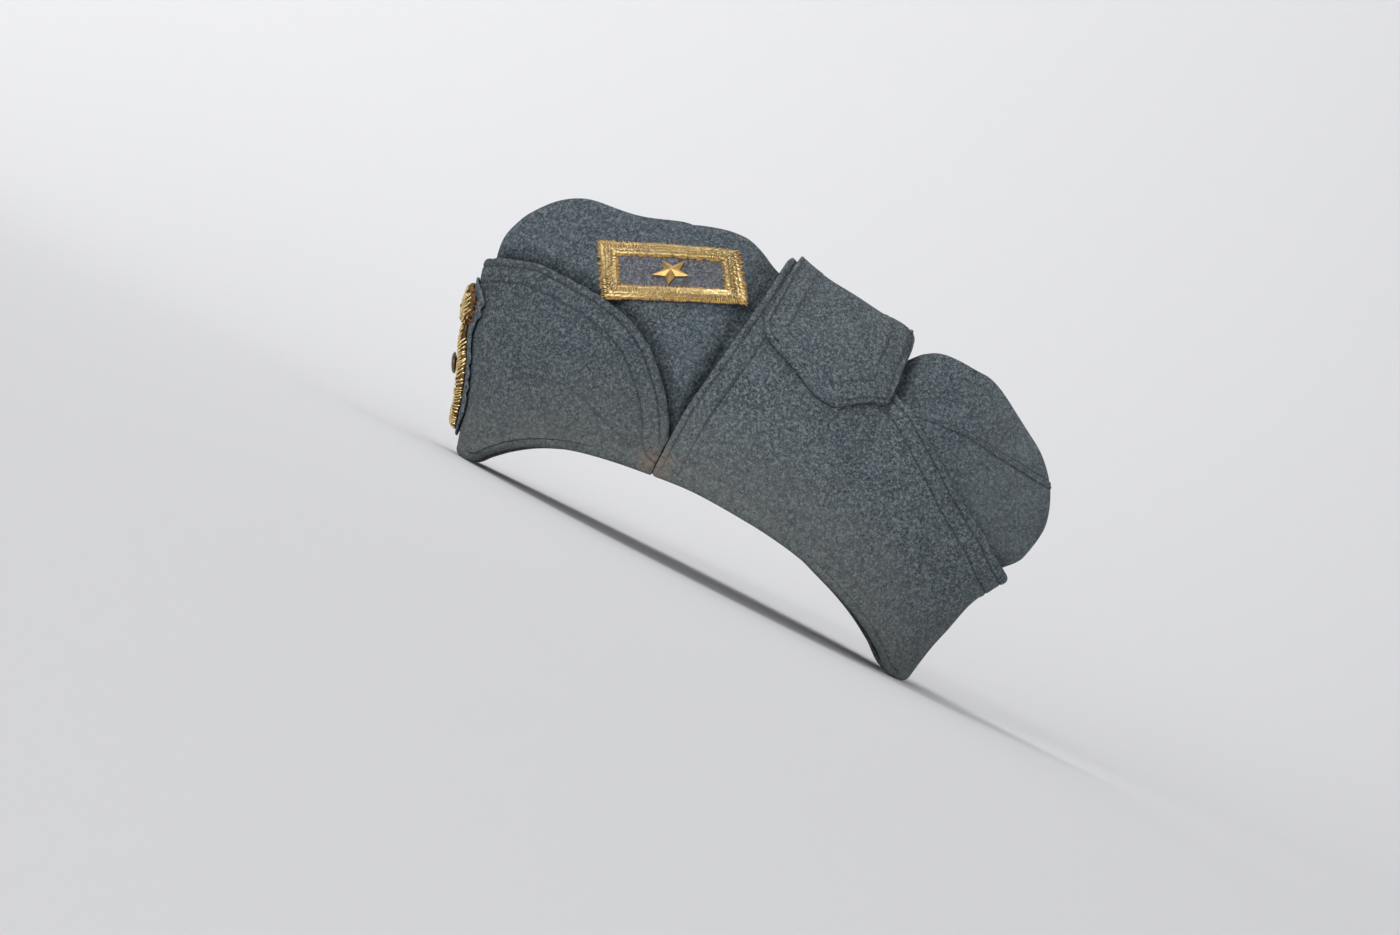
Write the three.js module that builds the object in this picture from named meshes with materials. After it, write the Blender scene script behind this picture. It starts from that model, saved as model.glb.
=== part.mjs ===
// Officer's garrison cap: a soft cloth crown with a turned-up visor-shaped front flap, a turned-up
// curtain round the ears and nape, a tab that closes the curtain over the ridge, a cloth and bullion
// badge in front and a braided rank patch on the wearer's left.
//
// Millimetres, +Z up, the forehead towards -Y and the wearer's left towards +X. The cap stands on its
// rim. In the tables y is counted back from the forehead end of the rim, and CENTRE_Y moves it to the
// part's own frame, whose origin is the middle of the box that the cap fills, on the floor.
import * as THREE from 'three';
import { mergeVertices } from 'three/addons/utils/BufferGeometryUtils.js';

// Driving dimensions
const CENTRE_Y = 100.3;
const GAP = 0.5; // clearance that neighbouring layers of cloth keep
const CROWN_CLOTH = 2.0;
const FLAP_CLOTH = 3.0; // two layers of cloth, seamed and pressed
const RIM_DROP = 3.5; // the crown's raw edge ends this far above the fold of the rim
const FOLD_GAP = 0.8; // between the crown's raw edge and the fold under it
const RIM_INSIDE = 2.4; // how far the fold reaches in under the crown
const RIM_LEVEL = 0.12; // below this level the crown turns into the rim
const END_LEVEL = { from: 0.05, fade: 0.3 }; // where the end heights of the levels take over
const PRESSED = { from: 0.935, fade: 0.04 }; // cosine of the turn where the rim is pressed flat
const NEAR_RIM = 0.2; // level up to which a layer follows the rim line at its own place
const EGG = 0.07; // how much wider the head is behind than in front
const JOIN_Y = 74.8; // where the front flap meets the curtain
const JOIN_GAP = 0.4;

// The crown's creases, folds and dents. The crease runs along the top, from a level up, and fades out
// towards its front and back. A dent has a depth, a middle in side view and how far it reaches each way.
const CREASE = { depth: 7, fromLevel: 0.84, front: 36, back: 166, fade: 30 };
const UNDER_CURTAIN = { depth: 2, front: 64, frontFade: 12, back: 196, backFade: 20 };
const DENTS = [
  { depth: 4.5, y: 85, yReach: 7, z: 120, zReach: 16 }, // pinched in at the curtain's front edge
  { depth: 6, y: 163, yReach: 12, z: 115, zReach: 10 }, // hollow behind the tab
];
const SLANT_FOLD = { depth: 2.2, slope: 0.55, at: 292, reach: 5, fromZ: 80, fade: 20 }; // over the nape

// How far the turned-up pieces stand off the crown towards their free edges
const FLAP_STAND = { middle: 0.7, sides: 1.8, fullLevel: 0.45 };
const CURTAIN_STAND = {
  everywhere: 0.6, everywhereLevel: 0.3, front: 1.6, frontY: 96, frontFade: 18, frontLevel: 0.25,
  nape: 2.3, napeFrom: 0.45, napeFade: 0.5, napeZ: 8, napeRise: 46,
};

// Levels of the crown from rim (0) to ridge (1). rise is the height at the side, as a share of the way
// from the rim line to the top line; point is how pointed the level's plan is at that end.
const LEVEL = table(
  ['level', 'yFront', 'zFront', 'yBack', 'zBack', 'halfWidth', 'rise', 'pointFront', 'pointBack'],
  [
    [0.0, -2.6, 3.5, 208.4, 3.5, 77.0, 0.0, 0.0, 0.0],
    [0.1, -9.5, 25.0, 212.0, 25.0, 78.0, 0.19, 0.06, 0.05],
    [0.2, -16.5, 45.0, 215.0, 43.0, 74.5, 0.36, 0.14, 0.12],
    [0.3, -22.7, 64.0, 222.0, 57.0, 68.0, 0.51, 0.22, 0.2],
    [0.4, -27.0, 80.0, 232.0, 70.5, 59.0, 0.64, 0.3, 0.25],
    [0.5, -28.5, 91.0, 234.4, 85.0, 48.5, 0.745, 0.3, 0.25],
    [0.6, -26.0, 102.3, 230.6, 100.0, 37.5, 0.83, 0.28, 0.25],
    [0.7, -18.2, 113.4, 218.3, 113.0, 27.5, 0.902, 0.22, 0.22],
    [0.8, -2.4, 123.6, 202.0, 123.0, 18.0, 0.957, 0.15, 0.2],
    [0.9, 18.0, 126.4, 182.5, 132.8, 9.0, 0.99, 0.1, 0.15],
    [1.0, 42.0, 134.6, 160.0, 131.8, 0.0, 1.0, 0.1, 0.1],
  ],
);

// Side view of the cap: the lower edge of the rim, and the top of the cloth
const RIM_LINE = table(['y', 'z'], [
  [-10, 0], [2.2, 0], [7.6, 5.2], [13, 10.2], [22, 16.5], [30, 20.4], [39, 23.7], [50, 26.4],
  [70, 29.5], [95, 31.7], [120, 30.6], [135, 28.9], [147, 26.6], [160, 22.4], [171, 18.5], [182, 13.5],
  [192, 7.5], [203.3, 0], [216, 0],
]);
const TOP_LINE = table(['y', 'z'], [
  [-30, 117], [-10, 120.8], [0, 124.2], [10, 126], [20, 127], [30, 130], [38, 134], [46, 138],
  [60, 141.2], [73, 140.6], [84, 134.8], [100, 132.6], [120, 130.2], [139, 127.3], [149, 124],
  [155, 131], [162, 134.4], [172, 136], [184, 133.6], [200, 127], [215, 118], [235, 105],
]);

// Free edges of the turned-up pieces in side view
const FLAP_EDGE = table(['y', 'z'], [
  [-36, 77], [-31, 79.6], [-21, 83.6], [-5, 87.3], [14, 86.8], [32, 84.2], [48, 77.2], [57.5, 69],
  [65, 60.8], [71, 51.5], [JOIN_Y, 44],
]);
const CURTAIN_FRONT = table(['level', 'y'], [
  [0, JOIN_Y + JOIN_GAP], [0.08, 75.4], [0.25, 78.4], [0.5, 81.4], [0.75, 82.8], [1, 83.4],
]);
const CURTAIN_EDGE = table(['y', 'z'], [
  [70, 170], [108, 150], [114, 139], [125, 129], [136, 119], [147, 108.5], [152, 104.6], [157, 103],
  [168.5, 95.6], [181, 87.4], [190, 81.2], [199.5, 75.5], [210.5, 69.4], [220, 63], [232, 56.8],
]);
const CURTAIN_TOP = 0.965; // level at which the two sides of the curtain meet over the ridge
const SEAM_RIM_Y = 98; // where the seam of the back panel reaches the rim, under the curtain
const GUSSET_SEAM = table(['y', 'z'], [
  [SEAM_RIM_Y, 30], [112, 54], [124, 80], [140, 98], [158, 105], [180, 106], [200, 104.6], [240, 102.5],
]);

// Tab: its outline in side view on the left, and the height of its sewn end on the right
const TAB = { yFront: 87.4, yBack: 150.4, sewnEnd: 121, cloth: 2.6, gap: 0.95 };
const TAB_EDGE = table(['y', 'z'], [
  [87.6, 108.5], [90.5, 104.2], [107, 96.3], [122, 89.8], [126, 89.6], [139, 98], [148.5, 102.4],
  [150.6, 104.5],
]);

// Rank patch on the left of the crown: corners in side view, front low, front high, back high, back low
const PATCH_CORNERS = [[23.9, 86.9], [10.6, 108.2], [64.2, 130.9], [77.3, 112]];
const PATCH = {
  cloth: 1.1, braid: 1.3, braidWidth: 0.115, starRadius: 8.3, starInner: 0.44, starHeight: 2.2,
  starAt: [0.505, 0.505], starTurn: -0.04,
};

// Badge on the front of the flap
const BADGE = { zLow: 7, zHigh: 72, gap: 0.8, backing: 1.2 };
const BACKING = table(['z', 'half'], [
  [7, 0.6], [11, 8], [18, 14], [28, 15], [38, 13.5], [46, 10.5], [51, 9.5], [58, 13.5], [65, 12.5], [72, 0.6],
]);
const SPRIGS = {
  middleZ: 30, halfWidth: 9.8, halfHeight: 18, open: 0.75, leaves: 14, leafHalfWidth: 2.9, height: 2.4,
};
const ROUNDEL = { z: 36.5, radius: 5.4, height: 2.4 };
const DISC = { z: 36.5, radius: 4.3, height: 2.2 };
const PLUME = { z: 59.2, halfWidth: 8.8, halfHeight: 7.6, height: 4 };

const COLOURS = {
  wool: 0x566063, flap: 0x545e61, patch: 0x66686d, gold: 0xb99e69, brass: 0xad9258,
  disc: 0x6b5a3a,
};

// Interpolation: each column of a table becomes a function of its first column, smooth and without
// overshoot (a monotone cubic)
function table(names, rows) {
  const keys = rows.map((row) => row[0]);
  const columns = {};
  names.slice(1).forEach((name, index) => {
    columns[name] = smoothColumn(keys, rows.map((row) => row[index + 1]));
  });
  return columns;
}

function smoothColumn(xs, ys) {
  const steps = xs.slice(1).map((x, i) => x - xs[i]);
  const rates = steps.map((step, i) => (ys[i + 1] - ys[i]) / step);
  const slopes = ys.map((_, i) => {
    if (i === 0) return rates[0];
    if (i === rates.length) return rates[i - 1];
    if (rates[i - 1] * rates[i] <= 0) return 0;
    const before = 2 * steps[i] + steps[i - 1];
    const after = steps[i] + 2 * steps[i - 1];
    return (before + after) / (before / rates[i - 1] + after / rates[i]);
  });
  return (value) => {
    const x = Math.min(Math.max(value, xs[0]), xs[xs.length - 1]);
    let i = 0;
    while (i < steps.length - 1 && x > xs[i + 1]) i += 1;
    const t = (x - xs[i]) / steps[i];
    const rest = 1 - t;
    return (1 + 2 * t) * rest * rest * ys[i] + t * rest * rest * steps[i] * slopes[i]
      + t * t * (3 - 2 * t) * ys[i + 1] - t * t * rest * steps[i] * slopes[i + 1];
  };
}

const ease = (t) => {
  const x = Math.min(Math.max(t, 0), 1);
  return x * x * (3 - 2 * x);
};
const bump = (value, centre, reach) => Math.exp(-(((value - centre) / reach) ** 2));
const spread = (count, at) => Array.from({ length: count + 1 }, (_, i) => at(i / count));

function solve(low, high, tooHigh) {
  let a = low;
  let b = high;
  for (let i = 0; i < 40; i += 1) {
    const middle = (a + b) / 2;
    if (tooHigh(middle)) b = middle;
    else a = middle;
  }
  return (a + b) / 2;
}

// The cloth's form before dents and folds: angle 0 is the forehead, pi the nape, positive to the left
function form(angle, level) {
  const c = Math.cos(angle);
  const s = Math.sin(angle);
  const yFront = LEVEL.yFront(level);
  const yBack = LEVEL.yBack(level);
  const y = (yFront + yBack) / 2 - ((yBack - yFront) / 2) * c;
  const point = (LEVEL.pointFront(level) * (1 + c) + LEVEL.pointBack(level) * (1 - c)) / 2;
  const x = LEVEL.halfWidth(level) * s * (1 - point + point * Math.abs(s)) * (1 - EGG * c);
  const low = RIM_LINE.z(y) + RIM_DROP;
  const side = low + (TOP_LINE.z(y) - low) * LEVEL.rise(level);
  const end = c > 0 ? LEVEL.zFront(level) : LEVEL.zBack(level);
  const towardsEnd = c ** 4 * ease((level - END_LEVEL.from) / END_LEVEL.fade);
  return new THREE.Vector3(x, y, side + (end - side) * towardsEnd);
}

// The angle at which a level passes y, and the level at which a surface passes a height there
const angleAt = (y, level) => {
  const yFront = LEVEL.yFront(level);
  const yBack = LEVEL.yBack(level);
  return Math.acos(Math.min(Math.max((yFront + yBack - 2 * y) / (yBack - yFront), -1), 1));
};
const levelAt = (y, z, surface = form) => (
  solve(0, 1, (level) => surface(angleAt(y, level), level).z > z)
);

// Outward direction of a surface given as a function of angle and level. It is level at the rim, where
// the layers stand beside each other, and upright on the ridge, where left meets right. The ridge's very
// ends take the direction found just inside them.
const RIDGE_END = 0.05;
function outward(surface, angle, level) {
  const step = 0.002;
  const down = Math.max(level - step, 0);
  const up = Math.min(level + step, 1);
  const onRidge = level > 0.9999;
  const ridgeAngle = Math.min(Math.max(Math.acos(Math.cos(angle)), RIDGE_END), Math.PI - RIDGE_END);
  const at = onRidge ? ridgeAngle : angle;
  const across = surface(at + step, level).sub(surface(at - step, level));
  const normal = across.cross(surface(at, up).sub(surface(at, down)));
  if (onRidge) normal.x = 0;
  normal.normalize();
  normal.z *= ease(level / RIM_LEVEL);
  return normal.normalize();
}

// A layer at a distance from a surface. Near the rim each layer follows the rim line at its own y, but
// in front and behind all are pressed level with each other, so that the cap stands there.
function offset(surface, angle, level, distance) {
  const base = surface(angle, level);
  const point = base.clone().addScaledVector(outward(surface, angle, level), distance);
  const nearRim = 1 - ease(level / NEAR_RIM);
  if (nearRim > 0) {
    const pressed = ease((Math.abs(Math.cos(angle)) - PRESSED.from) / PRESSED.fade);
    point.z += (RIM_LINE.z(point.y) - RIM_LINE.z(base.y)) * (1 - pressed) * nearRim;
  }
  return point;
}

// The crown: the form, pressed in before and under the closed curtain and behind it, and creased
function crown(angle, level) {
  const point = form(angle, level);
  const { y, z } = point;
  const under = ease((y - UNDER_CURTAIN.front) / UNDER_CURTAIN.frontFade)
    * ease((UNDER_CURTAIN.back - y) / UNDER_CURTAIN.backFade) * ease(level / RIM_LEVEL);
  let press = UNDER_CURTAIN.depth * under;
  DENTS.forEach((dent) => {
    press += dent.depth * bump(y, dent.y, dent.yReach) * bump(z, dent.z, dent.zReach);
  });
  const slant = bump(y + SLANT_FOLD.slope * z, SLANT_FOLD.at, SLANT_FOLD.reach);
  press += SLANT_FOLD.depth * slant * ease((z - SLANT_FOLD.fromZ) / SLANT_FOLD.fade);
  point.addScaledVector(outward(form, angle, level), -press);
  const creaseEnds = ease((y - CREASE.front) / CREASE.fade) * ease((CREASE.back - y) / CREASE.fade);
  point.z -= CREASE.depth * ease((level - CREASE.fromLevel) / (1 - CREASE.fromLevel)) * creaseEnds;
  return point;
}

// Offset of the turned-up pieces' inner faces from the form
const flapStand = (angle, level) => {
  const { middle, sides, fullLevel } = FLAP_STAND;
  return GAP + (middle + sides * Math.sin(angle) ** 2) * ease(level / fullLevel);
};
const curtainStand = (angle, level) => {
  const to = CURTAIN_STAND;
  const { y, z } = form(angle, level);
  const everywhere = to.everywhere * ease(level / to.everywhereLevel);
  const front = to.front * ease((to.frontY - y) / to.frontFade) * ease(level / to.frontLevel);
  const backwards = ease((-Math.cos(angle) - to.napeFrom) / to.napeFade);
  return GAP + everywhere + front + to.nape * backwards * ease((z - to.napeZ) / to.napeRise);
};
const flapOuter = (angle, level) => offset(form, angle, level, flapStand(angle, level) + FLAP_CLOTH);
const curtainOuter = (angle, level) => offset(form, angle, level, curtainStand(angle, level) + FLAP_CLOTH);

// Solids ---------------------------------------------------------------------------------------------
function solidFrom(positions) {
  let geometry = new THREE.BufferGeometry();
  geometry.setAttribute('position', new THREE.Float32BufferAttribute(positions, 3));
  geometry = mergeVertices(geometry, 1e-3);
  const source = geometry.getIndex().array;
  const kept = [];
  for (let i = 0; i < source.length; i += 3) {
    const [a, b, c] = source.slice(i, i + 3);
    if (a !== b && b !== c && c !== a) kept.push(a, b, c);
  }
  geometry.setIndex(kept);
  geometry.translate(0, -CENTRE_Y, 0);
  geometry.computeVertexNormals();
  return geometry;
}

const triangle = (out, a, b, c) => out.push(a.x, a.y, a.z, b.x, b.y, b.z, c.x, c.y, c.z);
// Two triangles, split along the shorter diagonal
const quad = (out, a, b, c, d) => {
  if (a.distanceTo(c) <= b.distanceTo(d)) {
    triangle(out, a, b, c);
    triangle(out, a, c, d);
  } else {
    triangle(out, b, c, d);
    triangle(out, b, d, a);
  }
};

// A wall between two grids [column][row]. closed joins the last column to the first; collapsed leaves
// the last row open, because its points meet in pairs along a ridge.
function wall(outer, inner, { closed = false, collapsed = false } = {}) {
  const out = [];
  const columns = outer.length;
  const rows = outer[0].length;
  const last = closed ? columns : columns - 1;
  for (let i = 0; i < last; i += 1) {
    const j = (i + 1) % columns;
    for (let k = 0; k < rows - 1; k += 1) {
      quad(out, outer[i][k], outer[j][k], outer[j][k + 1], outer[i][k + 1]);
      quad(out, inner[i][k], inner[i][k + 1], inner[j][k + 1], inner[j][k]);
    }
    quad(out, outer[i][0], inner[i][0], inner[j][0], outer[j][0]);
    if (!collapsed) {
      quad(out, outer[i][rows - 1], outer[j][rows - 1], inner[j][rows - 1], inner[i][rows - 1]);
    }
  }
  if (!closed) {
    for (let k = 0; k < rows - 1; k += 1) {
      quad(out, outer[0][k], outer[0][k + 1], inner[0][k + 1], inner[0][k]);
      const end = columns - 1;
      quad(out, outer[end][k], inner[end][k], inner[end][k + 1], outer[end][k + 1]);
    }
  }
  return solidFrom(out);
}

// A closed profile carried along columns. ends holds the triangles that close it, as profile indices.
function sweep(columns, ends) {
  const out = [];
  const count = columns[0].length;
  for (let i = 0; i < columns.length - 1; i += 1) {
    for (let k = 0; k < count; k += 1) {
      const next = (k + 1) % count;
      quad(out, columns[i][k], columns[i][next], columns[i + 1][next], columns[i + 1][k]);
    }
  }
  const first = columns[0];
  const last = columns[columns.length - 1];
  ends.forEach(([a, b, c]) => {
    triangle(out, first[a], first[b], first[c]);
    triangle(out, last[a], last[c], last[b]);
  });
  return solidFrom(out);
}

// Turned-up pieces -------------------------------------------------------------------------------------
// The fold of the rim, from its outer face round under the crown: an offset from the form and a drop
// below the crown's edge
const OUTSIDE = GAP + FLAP_CLOTH;
const FOLD = [
  [OUTSIDE - 0.3, -1.5], [OUTSIDE - 1.2, -2.8], [OUTSIDE - 2.6, -RIM_DROP], [1 - RIM_INSIDE, -RIM_DROP],
  [-RIM_INSIDE, -2.5], [-RIM_INSIDE, -FOLD_GAP], [GAP, -FOLD_GAP],
].map(([shift, drop]) => ({ shift, drop }));

// The profile of a turned-up piece: down its outer face, round the fold and up its inner face. Its faces
// are given by a share of the thickness and of the height.
function turnUpProfile(rows) {
  const outer = spread(rows, (t) => ({ face: 1, share: 1 - t }));
  const inner = spread(rows, (t) => ({ face: 0, share: t }));
  const edge = [{ face: 0.2, share: 1.012 }, { face: 0.8, share: 1.012 }];
  return [...outer, ...FOLD, ...inner, ...edge];
}

// Its end: across the two faces row by row, then the fold and the rounded edge
function turnUpEnd(rows) {
  const innerLow = rows + FOLD.length + 1;
  const innerTop = innerLow + rows;
  const faces = [[0, innerTop + 1, innerTop], [0, innerTop + 2, innerTop + 1]];
  for (let k = 0; k < rows; k += 1) {
    faces.push([rows - k, innerLow + k + 1, innerLow + k], [rows - k, rows - k - 1, innerLow + k + 1]);
  }
  const fold = [
    new THREE.Vector2(OUTSIDE, 0), ...FOLD.map((p) => new THREE.Vector2(p.shift, p.drop)),
    new THREE.Vector2(GAP, 0),
  ];
  const turned = THREE.ShapeUtils.triangulateShape(fold, []);
  return [...faces, ...turned.map((face) => face.map((i) => i + rows))];
}

function turnUp({ columns, rows, angleOf, topOf, standOf }) {
  const profile = turnUpProfile(rows);
  const grid = spread(columns, (u) => {
    const top = topOf(u);
    return profile.map((p) => {
      if (p.drop !== undefined) {
        const point = offset(form, angleOf(u, 0), 0, p.shift);
        point.z += p.drop;
        return point;
      }
      const level = Math.min(top * p.share, 1);
      const angle = angleOf(u, level);
      return offset(form, angle, level, standOf(angle, level) + FLAP_CLOTH * p.face);
    });
  });
  return sweep(grid, turnUpEnd(rows));
}

function frontFlap() {
  const angleOf = (u, level) => (2 * u - 1) * angleAt(JOIN_Y, level);
  const topOf = (u) => solve(0.05, 0.7, (level) => {
    const { y, z } = flapOuter(angleOf(u, level), level);
    return z > FLAP_EDGE.z(y);
  });
  return turnUp({ columns: 30, rows: 7, angleOf, topOf, standOf: flapStand });
}

const curtainAngle = (u, level) => {
  const start = angleAt(CURTAIN_FRONT.y(level), level);
  return start + u * 2 * (Math.PI - start);
};
const curtainTop = (u) => solve(0.05, CURTAIN_TOP, (level) => {
  const { y, z } = curtainOuter(curtainAngle(u, level), level);
  return z > CURTAIN_EDGE.z(y);
});
function curtain() {
  return turnUp({
    columns: 54, rows: 9, angleOf: curtainAngle, topOf: curtainTop, standOf: curtainStand,
  });
}

// Crown --------------------------------------------------------------------------------------------------
// Its two panels share their columns, so that they meet along one seam. The seam starts at the rim, on
// either side, and is 0 in front of that.
const CROWN_ANGLES = spread(64, (t) => t * 2 * Math.PI).slice(0, 64);
const SEAM_HALF_GAP = 0.0026;
const TOP_CROWDING = 0.72; // below 1, rows lie closer together towards the ridge
const SEAM_START = CROWN_ANGLES.findIndex((angle) => form(angle, 0).y > SEAM_RIM_Y);
const seamColumn = (index) => Math.min(index, CROWN_ANGLES.length - index) - SEAM_START;
function seamLevel(index) {
  if (seamColumn(index) <= 0) return seamColumn(index) < 0 ? 0 : 0.012;
  const angle = CROWN_ANGLES[Math.min(index, CROWN_ANGLES.length - index)];
  return solve(0, 0.9, (level) => {
    const { y, z } = form(angle, level);
    return z > GUSSET_SEAM.z(y);
  });
}

function crownWall(first, last, levelsOf, options) {
  const indices = spread(last - first, (t) => first + Math.round(t * (last - first)));
  const grid = (depth) => indices.map((index) => (
    levelsOf(index).map((level) => offset(crown, CROWN_ANGLES[index], level, -depth))
  ));
  return wall(grid(0), grid(CROWN_CLOTH), options);
}

function crownTop() {
  const levelsOf = (index) => {
    const low = seamColumn(index) < 0 ? 0 : seamLevel(index) + SEAM_HALF_GAP;
    return spread(11, (t) => low + (1 - low) * t ** TOP_CROWDING);
  };
  return crownWall(0, CROWN_ANGLES.length - 1, levelsOf, { closed: true, collapsed: true });
}

function crownBack() {
  const levelsOf = (index) => {
    const high = seamLevel(index) - SEAM_HALF_GAP;
    return spread(7, (t) => high * t);
  };
  return crownWall(SEAM_START, CROWN_ANGLES.length - SEAM_START, levelsOf);
}

// Tab ----------------------------------------------------------------------------------------------------
// It crosses the ridge: across runs from -1, its sewn end on the right, to 1, its free end on the left
const tabFace = (angle, level) => (
  offset(form, angle, level, curtainStand(angle, level) + FLAP_CLOTH + TAB.gap + TAB.cloth)
);
function closingTab() {
  const columns = 12;
  const rows = 18;
  const height = (y, across) => {
    const low = levelAt(y, across < 0 ? TAB.sewnEnd : TAB_EDGE.z(y), tabFace);
    return 1 - (1 - low) * Math.abs(across) ** 1.25;
  };
  const point = (y, across, distance) => {
    const level = height(y, across);
    const angle = angleAt(y, level) * Math.sign(across || 1);
    return offset(form, angle, level, curtainStand(angle, level) + FLAP_CLOTH + TAB.gap + distance);
  };
  const grid = (distance) => spread(columns, (s) => {
    const y = TAB.yFront + (TAB.yBack - TAB.yFront) * s;
    return spread(rows, (t) => point(y, 1 - 2 * t, distance));
  });
  return wall(grid(TAB.cloth), grid(0));
}

// Rank patch -----------------------------------------------------------------------------------------------
// A place on the patch: along from front (0) to back (1), up from low (0) to high (1)
const patchFace = (angle, level) => offset(form, angle, level, GAP + PATCH.cloth + PATCH.braid);
function onPatch(along, up, distance) {
  const [frontLow, frontHigh, backHigh, backLow] = PATCH_CORNERS;
  const mix = (a, b, t) => a + (b - a) * t;
  const y = mix(mix(frontLow[0], backLow[0], along), mix(frontHigh[0], backHigh[0], along), up);
  const z = mix(mix(frontLow[1], backLow[1], along), mix(frontHigh[1], backHigh[1], along), up);
  const level = levelAt(y, z, patchFace);
  return offset(form, angleAt(y, level), level, GAP + distance);
}

function rankPatch() {
  const grid = (distance) => spread(12, (s) => spread(6, (t) => onPatch(s, t, distance)));
  return wall(grid(PATCH.cloth), grid(0));
}

function rankBraid() {
  // A raised band round the patch: four strips with mitred corners, in one closed ring
  const band = PATCH.braidWidth;
  const ratio = 1.8; // the patch is about this much longer than high
  const ring = [];
  const side = (count, at) => ring.push(...spread(count, at).slice(0, count));
  side(12, (t) => [t, 0]);
  side(6, (t) => [1, t]);
  side(12, (t) => [1 - t, 1]);
  side(6, (t) => [0, 1 - t]);
  const place = ([along, up], share, distance) => {
    const inset = band * share;
    return onPatch(inset + along * (1 - 2 * inset), inset * ratio + up * (1 - 2 * inset * ratio), distance);
  };
  const base = PATCH.cloth + GAP;
  const profile = [[1, 0], [0.03, 0], [0.03, 0.7], [0.25, 1.1], [0.75, 1.1], [1, 0.7]];
  const rings = ring.map((at) => profile.map(([share, rise]) => place(at, share, base + rise * PATCH.braid)));
  const out = [];
  rings.forEach((loop, i) => {
    const next = rings[(i + 1) % rings.length];
    loop.forEach((_, k) => {
      const m = (k + 1) % loop.length;
      quad(out, loop[k], next[k], next[m], loop[m]);
    });
  });
  return solidFrom(out);
}

function rankStar() {
  // Five points, faceted, with a domed middle
  const [along, across] = PATCH.starAt;
  const centre = onPatch(along, across, PATCH.cloth + GAP);
  const ahead = onPatch(along - 0.1, across, PATCH.cloth + GAP).sub(centre).normalize();
  const out = onPatch(along, across, PATCH.cloth + GAP + 1).sub(centre).normalize();
  const up = new THREE.Vector3().crossVectors(out, ahead).normalize();
  ahead.crossVectors(up, out);
  const at = (angle, radius, height) => centre.clone()
    .addScaledVector(up, radius * Math.cos(angle))
    .addScaledVector(ahead, radius * Math.sin(angle))
    .addScaledVector(out, height);
  const rim = (height) => spread(10, (t) => {
    const i = Math.round(t * 10);
    const radius = PATCH.starRadius * (i % 2 ? PATCH.starInner : 1);
    return at((i * Math.PI) / 5 + PATCH.starTurn, radius, height);
  }).slice(0, 10);
  const low = rim(0);
  const high = rim(0.5);
  const peak = at(0, 0, PATCH.starHeight);
  const faces = [];
  low.forEach((_, i) => {
    const j = (i + 1) % low.length;
    triangle(faces, peak, high[j], high[i]);
    quad(faces, high[i], high[j], low[j], low[i]);
    triangle(faces, centre, low[i], low[j]);
  });
  return solidFrom(faces);
}

// Badge ------------------------------------------------------------------------------------------------------
// A place on the front of the flap, x to the left and z up, at a distance from its face
function onFlap(x, z, distance) {
  const levelOn = (angle) => solve(0, 0.6, (level) => flapOuter(angle, level).z > z);
  const angle = solve(0, 1.2, (a) => form(a, levelOn(a)).x > Math.abs(x));
  const level = levelOn(angle);
  const point = offset(form, angle, level, flapStand(angle, level) + FLAP_CLOTH + BADGE.gap + distance);
  if (x < 0) point.x = -point.x;
  return point;
}

// A relief on the flap, its outline given as a radius at each turn round a middle
function relief(middle, count, radiusAt, base, steps) {
  const faces = [];
  const place = (turn, share, height) => {
    const [x, z] = radiusAt(turn);
    return onFlap(middle[0] + x * share, middle[1] + z * share, base + height);
  };
  const turns = spread(count, (t) => t * 2 * Math.PI).slice(0, count);
  const rings = steps.map(([share, height]) => turns.map((turn) => place(turn, share, height)));
  const bottom = place(0, 0, steps[0][1]);
  const peak = place(0, 0, steps[steps.length - 1][1] + 0.2);
  turns.forEach((_, i) => {
    const j = (i + 1) % count;
    rings.slice(1).forEach((ring, r) => quad(faces, rings[r][i], rings[r][j], ring[j], ring[i]));
    triangle(faces, bottom, rings[0][j], rings[0][i]);
    triangle(faces, peak, rings[rings.length - 1][i], rings[rings.length - 1][j]);
  });
  return solidFrom(faces);
}

const onBacking = BADGE.backing + 0.6; // the height at which the embroidery starts
const dome = (height) => [[1, 0], [1, height * 0.35], [0.75, height * 0.8], [0.4, height]];

function badgeBacking() {
  // Cloth with a scalloped edge, its outline given by a half width at each height
  const rows = 16;
  const columns = 8;
  const grid = (distance) => spread(columns, (s) => spread(rows, (t) => {
    const z = BADGE.zLow + (BADGE.zHigh - BADGE.zLow) * t;
    const scallop = 1 + 0.05 * Math.sin(t * 16 * Math.PI);
    return onFlap((2 * s - 1) * BACKING.half(z) * scallop, z, distance);
  }));
  return wall(grid(BADGE.backing), grid(0));
}

// Two leafy sprigs that rise from below on either side of the roundel: one padded horseshoe
function badgeSprigs() {
  const { middleZ, halfWidth, halfHeight, open, leaves, leafHalfWidth, height } = SPRIGS;
  const shape = [[-1, 0], [-0.85, 0.65], [0, 1], [0.85, 0.65], [1, 0]];
  const columns = spread(leaves * 2, (t) => {
    const turn = -Math.PI / 2 + (2 * t - 1) * (Math.PI - open);
    const width = leafHalfWidth * (0.72 + 0.28 * Math.abs(Math.sin(t * leaves * Math.PI)));
    return shape.map(([across, rise]) => onFlap(
      (halfWidth + width * across) * Math.cos(turn),
      middleZ + (halfHeight + width * across) * Math.sin(turn),
      onBacking + rise * height,
    ));
  });
  const flat = shape.map(([across, rise]) => new THREE.Vector2(across, rise));
  return sweep(columns, THREE.ShapeUtils.triangulateShape(flat, []));
}

function badgeRoundel() {
  const { z, radius, height } = ROUNDEL;
  const petals = (turn) => {
    const r = radius * (1 + 0.08 * Math.cos(8 * turn));
    return [r * Math.cos(turn), r * Math.sin(turn)];
  };
  return relief([0, z], 16, petals, onBacking, dome(height));
}

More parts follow.
